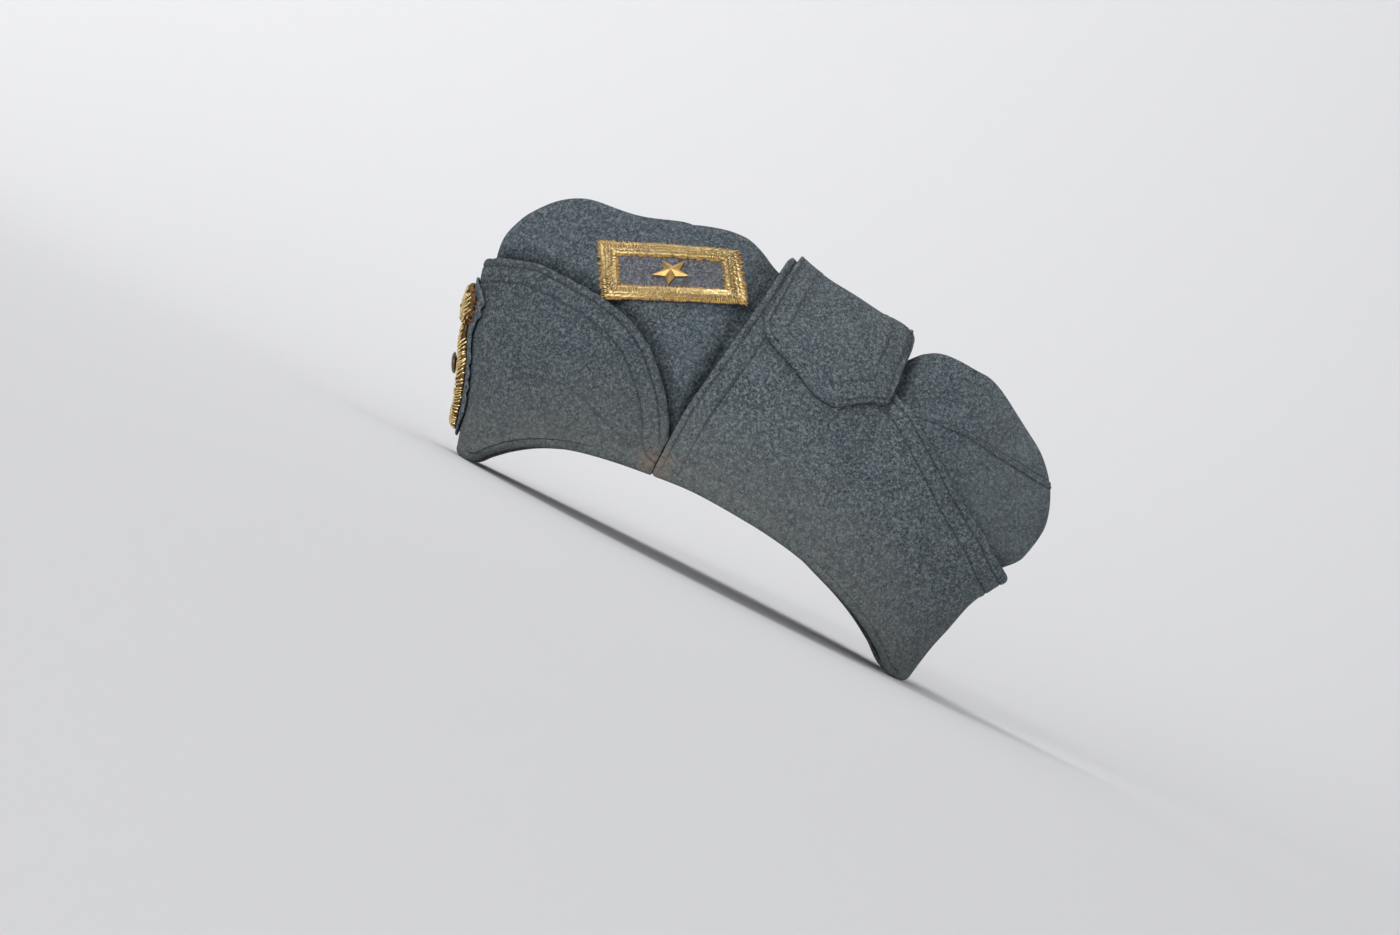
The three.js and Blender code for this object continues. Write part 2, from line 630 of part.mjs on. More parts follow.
function badgeDisc() {
  const { z, radius, height } = DISC;
  const circle = (turn) => [radius * Math.cos(turn), radius * Math.sin(turn)];
  return relief([0, z], 16, circle, onBacking + ROUNDEL.height + 0.6, dome(height));
}

// A tuft of three flames over the roundel
function badgePlume() {
  const { z, halfWidth, halfHeight, height } = PLUME;
  const flames = (turn) => {
    const up = Math.max(Math.sin(turn), 0);
    const tips = 1 + 0.28 * up * Math.cos(6 * (turn - Math.PI / 2)) - 0.12 * (1 - up);
    return [halfWidth * tips * Math.cos(turn), halfHeight * tips * Math.sin(turn)];
  };
  return relief([0, z], 24, flames, onBacking, dome(height));
}

// Colours and the assembly -------------------------------------------------------------------------------
function mesh(name, geometry, color, roughness, metalness) {
  const piece = new THREE.Mesh(geometry, new THREE.MeshStandardMaterial({ color, roughness, metalness }));
  piece.name = name;
  return piece;
}

const cap = new THREE.Group();
cap.add(mesh('crown_top', crownTop(), COLOURS.wool, 0.95, 0));
cap.add(mesh('crown_back', crownBack(), COLOURS.wool, 0.95, 0));
cap.add(mesh('front_flap', frontFlap(), COLOURS.flap, 0.95, 0));
cap.add(mesh('curtain', curtain(), COLOURS.flap, 0.95, 0));
cap.add(mesh('closing_tab', closingTab(), COLOURS.flap, 0.95, 0));
cap.add(mesh('rank_patch', rankPatch(), COLOURS.patch, 0.95, 0));
cap.add(mesh('rank_braid', rankBraid(), COLOURS.gold, 0.5, 0.6));
cap.add(mesh('rank_star', rankStar(), COLOURS.brass, 0.35, 0.9));
cap.add(mesh('badge_backing', badgeBacking(), COLOURS.wool, 0.95, 0));
cap.add(mesh('badge_sprigs', badgeSprigs(), COLOURS.gold, 0.5, 0.6));
cap.add(mesh('badge_roundel', badgeRoundel(), COLOURS.gold, 0.5, 0.6));
cap.add(mesh('badge_disc', badgeDisc(), COLOURS.disc, 0.35, 0.9));
cap.add(mesh('badge_plume', badgePlume(), COLOURS.gold, 0.5, 0.6));

export default cap;
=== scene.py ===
"""An officer's wool garrison cap: crown, turned-up front flap and curtain, closing tab, rank patch, badge."""

import bmesh
import bpy
import numpy as np
from mathutils import Matrix, Vector
from mathutils.kdtree import KDTree


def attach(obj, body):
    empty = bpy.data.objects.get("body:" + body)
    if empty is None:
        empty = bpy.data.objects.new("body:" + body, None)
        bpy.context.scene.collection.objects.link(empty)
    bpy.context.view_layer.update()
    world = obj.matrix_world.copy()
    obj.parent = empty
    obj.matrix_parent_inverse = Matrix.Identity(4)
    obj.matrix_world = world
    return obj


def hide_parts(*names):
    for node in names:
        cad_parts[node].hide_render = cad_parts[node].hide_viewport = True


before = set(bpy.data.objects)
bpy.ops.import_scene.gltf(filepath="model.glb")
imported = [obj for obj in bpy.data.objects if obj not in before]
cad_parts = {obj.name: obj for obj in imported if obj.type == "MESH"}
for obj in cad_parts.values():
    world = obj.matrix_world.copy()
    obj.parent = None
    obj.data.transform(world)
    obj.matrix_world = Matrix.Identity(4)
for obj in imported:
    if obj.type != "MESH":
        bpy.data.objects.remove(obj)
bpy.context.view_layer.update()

# Crown ---------------------------------------------------------------------------------------------------
# A soft bag of fulled grey-blue wool, unlined where it shows: a top panel that falls to both sides from a
# dented ridge, and a back panel joined to it by a felled seam with two rows of stitching. Wear has
# dented it at the curtain's edge and hollowed it behind the tab.

# Every panel of the cap follows one form: levels from the rim (0) to the ridge (1), and turns from the
# forehead (0) to the nape (pi), the wearer's left positive. Lengths are in millimetres, with y counted back
# from the forehead end of the rim.
MM = 0.001
CENTRE_Y = 100.3
GAP = 0.5
RIM_DROP = 3.5
RIM_LEVEL = 0.12
EGG = 0.07
RIDGE_END = 0.05
HALVINGS = 26
LEVELS = [  # level, front y and z, back y and z, half width, rise, how pointed in front and behind
    (0.0, -2.6, 3.5, 208.4, 3.5, 77.0, 0.0, 0.0, 0.0),
    (0.1, -9.5, 25.0, 212.0, 25.0, 78.0, 0.19, 0.06, 0.05),
    (0.2, -16.5, 45.0, 215.0, 43.0, 74.5, 0.36, 0.14, 0.12),
    (0.3, -22.7, 64.0, 222.0, 57.0, 68.0, 0.51, 0.22, 0.2),
    (0.4, -27.0, 80.0, 232.6, 70.5, 59.0, 0.64, 0.3, 0.25),
    (0.5, -28.5, 91.0, 235.0, 84.2, 48.5, 0.745, 0.3, 0.25),
    (0.6, -26.0, 102.3, 230.2, 100.0, 37.5, 0.83, 0.28, 0.25),
    (0.7, -18.2, 113.4, 218.9, 113.6, 27.5, 0.902, 0.22, 0.22),
    (0.8, -2.4, 123.6, 202.6, 124.0, 18.0, 0.957, 0.15, 0.2),
    (0.9, 18.0, 126.4, 182.5, 132.8, 9.0, 0.99, 0.1, 0.15),
    (1.0, 42.0, 134.6, 160.0, 131.8, 0.0, 1.0, 0.1, 0.1),
]
RIM_LINE = [  # y, z of the lower edge
    (-10, 0), (2.2, 0), (7.6, 5.2), (13, 10.2), (22, 16.5), (30, 20.4), (39, 23.7), (50, 26.4), (70, 29.5),
    (95, 31.7), (120, 30.6), (135, 28.9), (147, 26.6), (160, 22.4), (171, 18.5), (182, 13.5), (192, 7.5),
    (203.3, 0), (216, 0),
]
TOP_LINE = [  # y, z of the top of the cloth
    (-30, 117), (-10, 120.8), (0, 124.2), (10, 126), (20, 127), (30, 130.7), (38, 135.3), (46, 138.7),
    (60, 141.2), (73, 140.6), (84, 134.8), (100, 132.6), (120, 130.2), (139, 127.3), (149, 122.6),
    (155, 131), (162, 134.4), (172, 136), (184, 132.7), (200, 127.8), (215, 118), (235, 105),
]
RIPPLES = [  # wave vector (turns per metre along x, y, z), height in mm, phase
    ((9, 21, 12), 0.22, 0.4), ((-14, 17, -19), 0.2, 2.1), ((22, -11, 26), 0.16, 4.4),
    ((6, 34, -30), 0.12, 1.2), ((-31, 27, 33), 0.1, 5.3),
]


def smooth(rows):
    """Each further column of a table as a function of its first, smooth and without overshoot."""
    rows = np.array(rows, float)
    xs = rows[:, 0]
    steps = np.diff(xs)

    def column(ys):
        rates = np.diff(ys) / steps
        slopes = np.concatenate([rates[:1], np.zeros(len(xs) - 2), rates[-1:]])
        before = 2 * steps[1:] + steps[:-1]
        after = steps[1:] + 2 * steps[:-1]
        for i in np.flatnonzero(rates[:-1] * rates[1:] > 0):
            slopes[i + 1] = (before[i] + after[i]) / (before[i] / rates[i] + after[i] / rates[i + 1])

        def at(value):
            x = np.clip(value, xs[0], xs[-1])
            i = np.clip(np.searchsorted(xs, x, side="right") - 1, 0, len(steps) - 1)
            t = (x - xs[i]) / steps[i]
            rest = 1 - t
            low = rest * rest * ((1 + 2 * t) * ys[i] + t * steps[i] * slopes[i])
            return low + t * t * ((3 - 2 * t) * ys[i + 1] - rest * steps[i] * slopes[i + 1])

        return at

    return [column(ys) for ys in rows[:, 1:].T]


level_columns = smooth(LEVELS)
(rim_line,) = smooth(RIM_LINE)
(ridge_line,) = smooth(TOP_LINE)


def top_line(y):
    """The ridge's line with its corners rounded, as the cloth rounds them."""
    return sum(share * ridge_line(y + shift) for shift, share in ((-3, 0.25), (0, 0.5), (3, 0.25)))


def ease(t):
    t = np.clip(t, 0, 1)
    return t * t * (3 - 2 * t)


def bump(value, centre, reach):
    return np.exp(-(((value - centre) / reach) ** 2))


def form(angle, level):
    """The form itself: an egg-shaped ring at each level, lifted to the rim's and the ridge's line."""
    c, s = np.cos(angle), np.sin(angle)
    y_front, z_front, y_back, z_back, half, rise, sharp_front, sharp_back = (f(level) for f in level_columns)
    y = (y_front + y_back) / 2 - (y_back - y_front) / 2 * c
    sharp = (sharp_front * (1 + c) + sharp_back * (1 - c)) / 2
    x = half * s * (1 - sharp + sharp * np.abs(s)) * (1 - EGG * c)
    low = rim_line(y) + RIM_DROP
    side = low + (top_line(y) - low) * rise
    end = np.where(c > 0, z_front, z_back)
    return np.stack([x, y, side + (end - side) * c**4 * ease((level - 0.05) / 0.3)], -1)


def unit(vectors):
    return vectors / np.maximum(np.linalg.norm(vectors, axis=-1, keepdims=True), 1e-12)


def outward(surface, angle, level):
    """A surface's direction outwards, level at the rim and upright on the ridge."""
    step = 0.002
    on_ridge = level > 0.9999
    folded = np.clip(np.arccos(np.cos(angle)), RIDGE_END, np.pi - RIDGE_END)
    at = np.where(on_ridge, folded, angle)
    across = surface(at + step, level) - surface(at - step, level)
    upwards = surface(at, np.minimum(level + step, 1)) - surface(at, np.maximum(level - step, 0))
    normal = np.cross(across, upwards)
    normal[..., 0] = np.where(on_ridge, 0, normal[..., 0])
    normal = unit(normal)
    normal[..., 2] *= ease(level / RIM_LEVEL)
    return unit(normal)


def ripple(points, level):
    """The uneven lie of worn cloth, the same for all layers at a place."""
    total = sum(h * np.sin(points @ (np.array(k) * 2 * np.pi * MM) + phase) for k, h, phase in RIPPLES)
    return total * ease(level / RIM_LEVEL - 0.2)


def offset(surface, angle, level, distance):
    """A place at a distance out from a surface, following the rim's curve where it is near the rim."""
    angle, level, distance = np.broadcast_arrays(
        np.asarray(angle, float), np.asarray(level, float), np.asarray(distance, float)
    )
    base = surface(angle, level)
    out = outward(surface, angle, level)
    point = base + out * (distance + ripple(base, level))[..., None]
    at_ends = ease((np.abs(np.cos(angle)) - 0.935) / 0.04)
    near_rim = 1 - ease(level / 0.2)
    point[..., 2] += (rim_line(point[..., 1]) - rim_line(base[..., 1])) * (1 - at_ends) * near_rim
    return point


def angle_at(y, level):
    """The turn on the left at which a level passes a place along the cap."""
    y_front, y_back = level_columns[0](level), level_columns[2](level)
    return np.arccos(np.clip((y_front + y_back - 2 * y) / (y_back - y_front), -1, 1))


def solve(low, high, too_high):
    """Bisection for whole arrays at once."""
    low, high = np.array(low, float), np.array(high, float)
    for _ in range(HALVINGS):
        middle = (low + high) / 2
        above = too_high(middle)
        low, high = np.where(above, low, middle), np.where(above, middle, high)
    return (low + high) / 2


def level_at(y, z, surface):
    """The level at which a surface passes a place of the side view."""
    shape = np.broadcast(y, z).shape

    def too_high(level):
        return surface(angle_at(y, level), level)[..., 2] > z

    return solve(np.zeros(shape), np.ones(shape), too_high)


# What the bag adds to the form: a crease in its ridge, a press over the head, dents and folds, a seam, and
# the edges of the pieces turned up round it, which draw it in.
CROWN_CLOTH = 2.0
PRESS = {"depth": 2, "front": 64, "front_fade": 12, "back": 196, "back_fade": 20}
CREASE = {"depth": 7, "from": 0.84, "front": 36, "back": 166, "fade": 30}
RIDGE_HALF = 11
DENTS = [  # depth, y and its reach, z and its reach
    (2.8, 85, 7, 111, 12),
    (4.8, 164, 13, 115, 10),
]
SOFT_FOLDS = [  # depth, slope, place along y + slope z, reach, from z
    (2.2, 0.55, 292, 5, 80),
    (0.9, -0.35, 165, 6, 96),
    (0.8, -0.8, 140, 7, 90),
]
SEAM_RIM_Y = 98
SEAM_LINE = [  # y, z of the felled seam
    (SEAM_RIM_Y, 30), (112, 54), (124, 80), (140, 98), (158, 105), (180, 106), (200, 104.6), (240, 102.5),
]
FELL = {"half": 1.85, "raise": 0.45, "groove": 0.6, "half_groove": 0.4}
JOIN_Y = 74.8
NOTCH_BACK = 79
FLAP_EDGE = [  # y, z of the front flap's top edge
    (-36, 77), (-31, 79.6), (-21, 83.6), (-5, 87.3), (14, 86.8), (32, 84.2), (48, 77.2), (57.5, 69),
    (65, 60.8), (71, 51.5), (JOIN_Y, 44),
]
CURTAIN_FRONT = [(0, 75.2), (0.08, 75.4), (0.25, 78.4), (0.5, 81.4), (0.75, 82.8), (1, 83.4)]  # level, y
CURTAIN_EDGE = [  # y, z of the curtain's upper, back edge
    (70, 170), (108, 150), (114, 139), (125, 129), (136, 119), (147, 108.5), (152, 104.6), (157, 103),
    (168.5, 95.6), (181, 87.4), (190, 81.2), (199.5, 75.5), (210.5, 69.4), (220, 63), (232, 56.8),
]
SINK = {"depth": 6.2, "behind": 1.2, "reach": 7.6, "over_rim": 8, "full": 38, "to_level": 0.76}
FAR = 99
(seam_line,) = smooth(SEAM_LINE)
(flap_edge,) = smooth(FLAP_EDGE)
(curtain_front,) = smooth(CURTAIN_FRONT)
(curtain_edge,) = smooth(CURTAIN_EDGE)


def over_line(y, z, line):
    """How far a place is above a line of the side view, square to it."""
    slope = line(y + 0.5) - line(y - 0.5)
    return (z - line(y)) / np.sqrt(1 + slope**2)


def clear_of_edges(y, z, level):
    """How far the crown shows past the edges of the turned-up pieces; below 0 they cover it."""
    over_flap, over_curtain = (over_line(y, z, line) for line in (flap_edge, curtain_edge))
    before_curtain = curtain_front(level) - y
    in_notch = np.minimum(np.where(y < JOIN_Y, over_flap, FAR), before_curtain)
    return np.where(y < NOTCH_BACK, in_notch, over_curtain)


def sunk_beside_edges(y, z, level):
    """How far the crown is drawn in by the turned-up pieces, along their edges and under them."""
    inside = 1 - ease(np.maximum(clear_of_edges(y, z, level), 0) / SINK["reach"])
    depth = np.where(y < NOTCH_BACK, SINK["depth"], SINK["behind"])
    over_rim = z - rim_line(y) - SINK["over_rim"]
    low = ease(over_rim / (SINK["full"] - SINK["over_rim"]))
    return depth * inside * low * (1 - ease((level - SINK["to_level"]) / 0.1))


def crown(angle, level):
    point = form(angle, level)
    y, z = point[..., 1], point[..., 2]
    press = PRESS["depth"] * ease((y - PRESS["front"]) / PRESS["front_fade"])
    press = press * ease((PRESS["back"] - y) / PRESS["back_fade"]) * ease(level / RIM_LEVEL)
    press = press + sunk_beside_edges(y, z, level)
    for depth, y_at, y_reach, z_at, z_reach in DENTS:
        press = press + depth * bump(y, y_at, y_reach) * bump(z, z_at, z_reach)
    for depth, slope, at, reach, from_z in SOFT_FOLDS:
        press = press + depth * bump(y + slope * z, at, reach) * ease((z - from_z) / 20)
    press = press * ease(np.abs(point[..., 0]) / RIDGE_HALF)
    point = point - outward(form, angle, level) * press[..., None]
    ends = ease((y - CREASE["front"]) / CREASE["fade"]) * ease((CREASE["back"] - y) / CREASE["fade"])
    point[..., 2] -= CREASE["depth"] * ease((level - CREASE["from"]) / (1 - CREASE["from"])) * ends
    return point


def to_frame(points):
    """Millimetres of the pattern to metres of the frame."""
    return (np.asarray(points, float) - [0, CENTRE_Y, 0]) * MM


def grid_quads(columns, rows, first=0, closed=False):
    """Quads of a grid of points [column][row], numbered from the first."""
    index = first + np.arange(columns * rows).reshape(columns, rows)
    if closed:
        index = np.concatenate([index, index[:1]])
    a, b = index[:-1], index[1:]
    return np.stack([a[:, :-1], b[:, :-1], b[:, 1:], a[:, 1:]], -1).reshape(-1, 4)


def strip(one, other):
    """Quads between two equally long rows of point numbers."""
    return np.stack([one[:-1], one[1:], other[1:], other[:-1]], -1)


def new_piece(name, points, faces, material, slot, replaced=(), attributes=None):
    """A mesh piece in place, closed up where points meet, on the cap's one body."""
    mesh = bpy.data.meshes.new(name)
    mesh.from_pydata(to_frame(points).tolist(), [], [list(map(int, face)) for face in faces])
    for key, values in (attributes or {}).items():
        marks = mesh.attributes.new(key, "FLOAT", "POINT")
        marks.data.foreach_set("value", np.ravel(values).astype(np.float32))
    work = bmesh.new()
    work.from_mesh(mesh)
    bmesh.ops.remove_doubles(work, verts=work.verts, dist=2e-6)
    bmesh.ops.dissolve_degenerate(work, edges=work.edges, dist=1e-7)
    work.to_mesh(mesh)
    work.free()
    mesh.shade_smooth()
    mesh.materials.append(material)
    piece = bpy.data.objects.new(name, mesh)
    bpy.context.scene.collection.objects.link(piece)
    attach(piece, "root")
    if replaced:
        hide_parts(*replaced)
    return piece


def wall(outer, inner, closed=False, collapsed=False):
    """Points and quads of a wall between two grids [column][row]."""
    columns, rows = outer.shape[:2]
    inner_rows = inner.shape[1]
    count = columns * rows
    points = np.concatenate([outer.reshape(-1, 3), inner.reshape(-1, 3)])
    out = np.arange(count).reshape(columns, rows)
    back = count + np.arange(columns * inner_rows).reshape(columns, inner_rows)
    faces = [
        grid_quads(columns, rows, 0, closed),
        grid_quads(columns, inner_rows, count, closed)[:, ::-1],
    ]
    around = np.append(np.arange(columns), 0) if closed else np.arange(columns)
    faces.append(strip(back[around, 0], out[around, 0]))
    if not collapsed:
        faces.append(strip(out[around, -1], back[around, -1]))
    if not closed:
        faces.append(strip(out[0], back[0]))
        faces.append(strip(back[-1], out[-1]))
    return points, np.concatenate(faces)


def distances(points, line):
    """Distance from each point to the nearest point of a finely stepped line."""
    tree = KDTree(len(line))
    for i, point in enumerate(line):
        tree.insert(point, i)
    tree.balance()
    flat = points.reshape(-1, 3)
    return np.array([tree.find(point)[2] for point in flat]).reshape(points.shape[:-1])


def refine(line, step=0.4):
    """A line with points at equal steps along it."""
    line = np.asarray(line, float)
    run = np.concatenate([[0], np.cumsum(np.linalg.norm(np.diff(line, axis=0), axis=1))])
    at = np.linspace(0, run[-1], max(int(run[-1] / step) + 1, 2))
    return np.stack([np.interp(at, run, line[:, k]) for k in range(line.shape[1])], -1)


def grid_normals(grid):
    along = np.gradient(grid, axis=0)
    up = np.gradient(grid, axis=1)
    return unit(np.cross(along, up))


def node(tree, kind, inputs=None, **settings):
    """A node with its settings, and its inputs given as values or as the sockets to link."""
    made = tree.nodes.new(kind)
    for key, value in settings.items():
        setattr(made, key, value)
    for key, value in (inputs or {}).items():
        socket = made.inputs[key]
        if isinstance(value, bpy.types.NodeSocket):
            tree.links.new(value, socket)
        else:
            socket.default_value = value
    return made


def material(name, **values):
    """A material whose shader's own sockets carry what is even all over."""
    made = bpy.data.materials.new(name)
    made.use_nodes = True
    shader = made.node_tree.nodes["Principled BSDF"]
    for key, value in values.items():
        shader.inputs[key.replace("_", " ").title().replace("Ior", "IOR")].default_value = value
    return made, made.node_tree, shader


def mixed(tree, share, low, high):
    made = node(tree, "ShaderNodeMix", data_type="RGBA")
    for index, value in ((0, share), (6, low), (7, high)):
        if isinstance(value, bpy.types.NodeSocket):
            tree.links.new(value, made.inputs[index])
        else:
            made.inputs[index].default_value = value
    return made.outputs[2]


def sums(tree, operation, *terms):
    """A chain of one Math operation over numbers and sockets."""
    total = terms[0]
    for term in terms[1:]:
        total = node(tree, "ShaderNodeMath", {0: total, 1: term}, operation=operation).outputs[0]
    return total


def noise(tree, place, scale, detail=2.0, roughness=0.5, stretch=None, turn=(0, 0, 0)):
    if stretch is not None:
        lie = {"Vector": place, "Rotation": turn, "Scale": stretch}
        place = node(tree, "ShaderNodeMapping", lie).outputs[0]
    settings = {"Vector": place, "Scale": scale, "Detail": detail, "Roughness": roughness}
    return node(tree, "ShaderNodeTexNoise", settings).outputs["Fac"]


def between(tree, value, low, high):
    limits = {"Value": value, "From Min": low, "From Max": high}
    return node(tree, "ShaderNodeMapRange", limits, clamp=True).outputs[0]


STRAND_TURNS = [
    (0.3, 0.2, 0.5), (1.2, 0.9, 0.1), (0.1, 1.5, 2.2), (2.4, 0.4, 1.3), (1.7, 0.6, 0.9), (0.5, 2.1, 0.3),
]
STRAY_BROWN = (0.19, 0.135, 0.095, 1)
# Pale soil along the rim, and painted light that makes the lower part of flap and curtain paler.
SOIL_AND_PAINTED_LIGHT = (0.185, 0.19, 0.168, 1)
RUST_STAIN = (0.25, 0.18, 0.13, 1)


def strands(tree, place, turns, stretch, low, high):
    """Short strands lying in several directions."""
    lies = [noise(tree, place, 1.0, 2.0, 0.65, stretch=stretch, turn=turn) for turn in turns]
    return sums(tree, "MAXIMUM", *[between(tree, lie, low, high) for lie in lies])


def bumped(tree, shader, height, strength, distance):
    """The finest relief of a finish, as a bump in its shading."""
    relief = {"Strength": strength, "Distance": distance, "Height": height}
    tree.links.new(node(tree, "ShaderNodeBump", relief).outputs[0], shader.inputs["Normal"])


def scaled(colour, share):
    return tuple(share * value for value in colour[:3]) + (1,)


def wool(name, dark, tone, light):
    """Fulled wool in blended shades: short strands felted over each other, soiled where it is handled, paler
    over its lower part with painted light, and darker in grooves and gutters with painted shade.
    """
    made, tree, shader = material(name, roughness=0.95, sheen_weight=0.06, sheen_roughness=0.5)
    shader.inputs["Sheen Tint"].default_value = (0.75, 0.8, 0.82, 1)
    shader.inputs["Specular IOR Level"].default_value = 0.1
    place = node(tree, "ShaderNodeTexCoord").outputs["Object"]
    pale = strands(tree, place, STRAND_TURNS[:4], (250, 720, 720), 0.57, 0.68)
    fine = strands(tree, place, STRAND_TURNS[1:5], (560, 1500, 1500), 0.56, 0.68)
    deep = strands(tree, place, STRAND_TURNS[3:], (240, 640, 640), 0.55, 0.66)
    mottle = between(tree, noise(tree, place, 260.0, 3.0, 0.6), 0.36, 0.64)
    cloud = between(tree, noise(tree, place, 75.0, 4.0, 0.65), 0.36, 0.64)
    brown = between(tree, noise(tree, place, 700.0, 1.0, 0.5), 0.66, 0.74)
    colour = mixed(tree, sums(tree, "MULTIPLY", cloud, 0.95), scaled(tone, 1.18), scaled(tone, 0.68))
    blend = (
        (mottle, 0.75, scaled(tone, 0.58)), (deep, 0.9, dark), (fine, 0.5, scaled(light, 0.75)),
        (pale, 0.82, light), (brown, 0.55, STRAY_BROWN),
    )
    for amount, strength, shade in blend:
        colour = mixed(tree, sums(tree, "MULTIPLY", amount, strength), colour, shade)
    patchy = between(tree, noise(tree, place, 320.0, 4.0, 0.7), 0.3, 0.72)
    # The soil mark is partly real soil and partly painted light over the lower part.
    stains = (("wear", scaled(light, 0.85), 0.4), ("soil_and_painted_light", SOIL_AND_PAINTED_LIGHT, 0.7), ("rust", RUST_STAIN, 1.0))
    for key, stain, strength in stains:
        amount = node(tree, "ShaderNodeAttribute", attribute_name=key).outputs["Fac"]
        colour = mixed(tree, sums(tree, "MULTIPLY", amount, patchy, strength), colour, stain)
    # Painted shade: darker in stitched grooves and in the gutters beside the turned-up pieces, where shadow
    # falls.
    groove_shade = node(tree, "ShaderNodeAttribute", attribute_name="groove").outputs["Fac"]
    colour = mixed(tree, sums(tree, "MULTIPLY", groove_shade, 0.75), colour, scaled(dark, 0.7))
    tree.links.new(colour, shader.inputs["Base Color"])
    height = sums(tree, "ADD", sums(tree, "MULTIPLY", pale, 0.7), sums(tree, "MULTIPLY", fine, 0.4))
    height = sums(tree, "SUBTRACT", height, sums(tree, "MULTIPLY", deep, 0.4))
    bumped(tree, shader, height, 0.8, 0.0004)
    return made


crown_wool = wool("crown wool", (0.015, 0.029, 0.045, 1), (0.067, 0.092, 0.111, 1), (0.215, 0.25, 0.262, 1))


def thread_tree():
    """Short plump threads laid at points, along 'along', with 'up' away from the cloth and 'length' long."""
    tree = bpy.data.node_groups.new("Laid threads", "GeometryNodeTree")
    sockets = tree.interface
    sockets.new_socket("Places", in_out="INPUT", socket_type="NodeSocketGeometry")
    for key in ("Thickness", "Flatness"):
        sockets.new_socket(key, in_out="INPUT", socket_type="NodeSocketFloat")
    sockets.new_socket("Finish", in_out="INPUT", socket_type="NodeSocketMaterial")
    sockets.new_socket("Threads", in_out="OUTPUT", socket_type="NodeSocketGeometry")
    given = tree.nodes.new("NodeGroupInput").outputs
    result = tree.nodes.new("NodeGroupOutput").inputs

    def stored(key, kind):
        found = node(tree, "GeometryNodeInputNamedAttribute", data_type=kind)
        found.inputs["Name"].default_value = key
        return found.outputs["Attribute"]

    turn = node(tree, "FunctionNodeAxesToRotation", primary_axis="Z", secondary_axis="X")
    tree.links.new(stored("along", "FLOAT_VECTOR"), turn.inputs[0])
    tree.links.new(stored("up", "FLOAT_VECTOR"), turn.inputs[1])
    flat = node(tree, "ShaderNodeMath", {0: given["Thickness"], 1: given["Flatness"]}, operation="MULTIPLY")
    parts = {"X": flat.outputs[0], "Y": given["Thickness"], "Z": stored("length", "FLOAT")}
    size = node(tree, "ShaderNodeCombineXYZ", parts)
    ball = node(tree, "GeometryNodeMeshUVSphere", {"Segments": 6, "Rings": 5, "Radius": 0.5})
    laid = node(tree, "GeometryNodeInstanceOnPoints", {
        "Points": given["Places"], "Instance": ball.outputs["Mesh"],
        "Rotation": turn.outputs[0], "Scale": size.outputs[0],
    })
    whole = node(tree, "GeometryNodeRealizeInstances", {"Geometry": laid.outputs[0]})
    soft = node(tree, "GeometryNodeSetShadeSmooth", {"Geometry": whole.outputs[0]})
    done = node(tree, "GeometryNodeSetMaterial", {"Geometry": soft.outputs[0], "Material": given["Finish"]})
    tree.links.new(done.outputs[0], result[0])
    return tree


laid_threads = thread_tree()


def grown(name, mesh, tree, inputs):
    """The plain mesh that a node tree grows from a guide mesh."""
    guide = bpy.data.objects.new(name, mesh)
    bpy.context.scene.collection.objects.link(guide)
    growth = guide.modifiers.new("growth", "NODES")
    growth.node_group = tree
    for item in tree.interface.items_tree:
        if item.in_out == "INPUT" and item.name in inputs:
            growth[item.identifier] = inputs[item.name]
    seen = guide.evaluated_get(bpy.context.evaluated_depsgraph_get())
    plain = bpy.data.meshes.new_from_object(seen)
    guide.modifiers.remove(growth)
    guide.data = plain
    for key in ("along", "up", "length"):
        if key in plain.attributes:
            plain.attributes.remove(plain.attributes[key])
    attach(guide, "root")
    return guide


def lay_threads(name, places, along, length, up, thickness, finish, slot, flatness=0.8):
    """One piece of short threads, from their places, directions and lengths, and the way out of the cloth."""
    mesh = bpy.data.meshes.new(name + " places")
    mesh.from_pydata(to_frame(places).tolist(), [], [])
    for key, values in (("along", along), ("up", up)):
        vectors = mesh.attributes.new(key, "FLOAT_VECTOR", "POINT")
        vectors.data.foreach_set("vector", np.broadcast_to(values, places.shape).astype(np.float32).ravel())
    lengths = np.broadcast_to(np.asarray(length, float), len(places)) * MM
    mesh.attributes.new("length", "FLOAT", "POINT").data.foreach_set("value", lengths.astype(np.float32))
    inputs = {"Thickness": thickness * MM, "Flatness": flatness, "Finish": finish}
    return grown(name, mesh, laid_threads, inputs)


STITCH = {"pitch": 2.7, "length": 2.1, "thickness": 0.42, "sink": 0.04}


def stitched(paths, seed, pitch=STITCH["pitch"]):
    """Places, directions and lengths of the stitches along paths of [place, normal]."""
    chance = np.random.default_rng(seed)
    rows = []
    for path in paths:
        if len(path) < 3:
            continue
        fine = refine(path, pitch / 8)
        run = np.concatenate([[0], np.cumsum(np.linalg.norm(np.diff(fine[:, :3], axis=0), axis=1))])
        at = np.arange(pitch / 2, run[-1], pitch)
        at = at + chance.uniform(-0.12, 0.12, len(at)) * pitch
        place = np.stack([np.interp(at, run, fine[:, k]) for k in range(6)], -1)
        ahead = np.stack([np.interp(at + 0.6, run, fine[:, k]) for k in range(3)], -1)
        behind = np.stack([np.interp(at - 0.6, run, fine[:, k]) for k in range(3)], -1)
        up = unit(place[:, 3:])
        along = unit(ahead - behind + 0.05 * chance.normal(size=(len(at), 3)))
        rows.append(np.concatenate([place[:, :3] - up * STITCH["sink"], along, up], -1))
    return np.concatenate(rows)


def sew(name, paths, seed, finish, slot, pitch=STITCH["pitch"], thickness=STITCH["thickness"]):
    rows = stitched(paths, seed, pitch)
    length = pitch * STITCH["length"] / STITCH["pitch"]
    return lay_threads(name, rows[:, :3], rows[:, 3:6], length, rows[:, 6:], thickness, finish, slot)


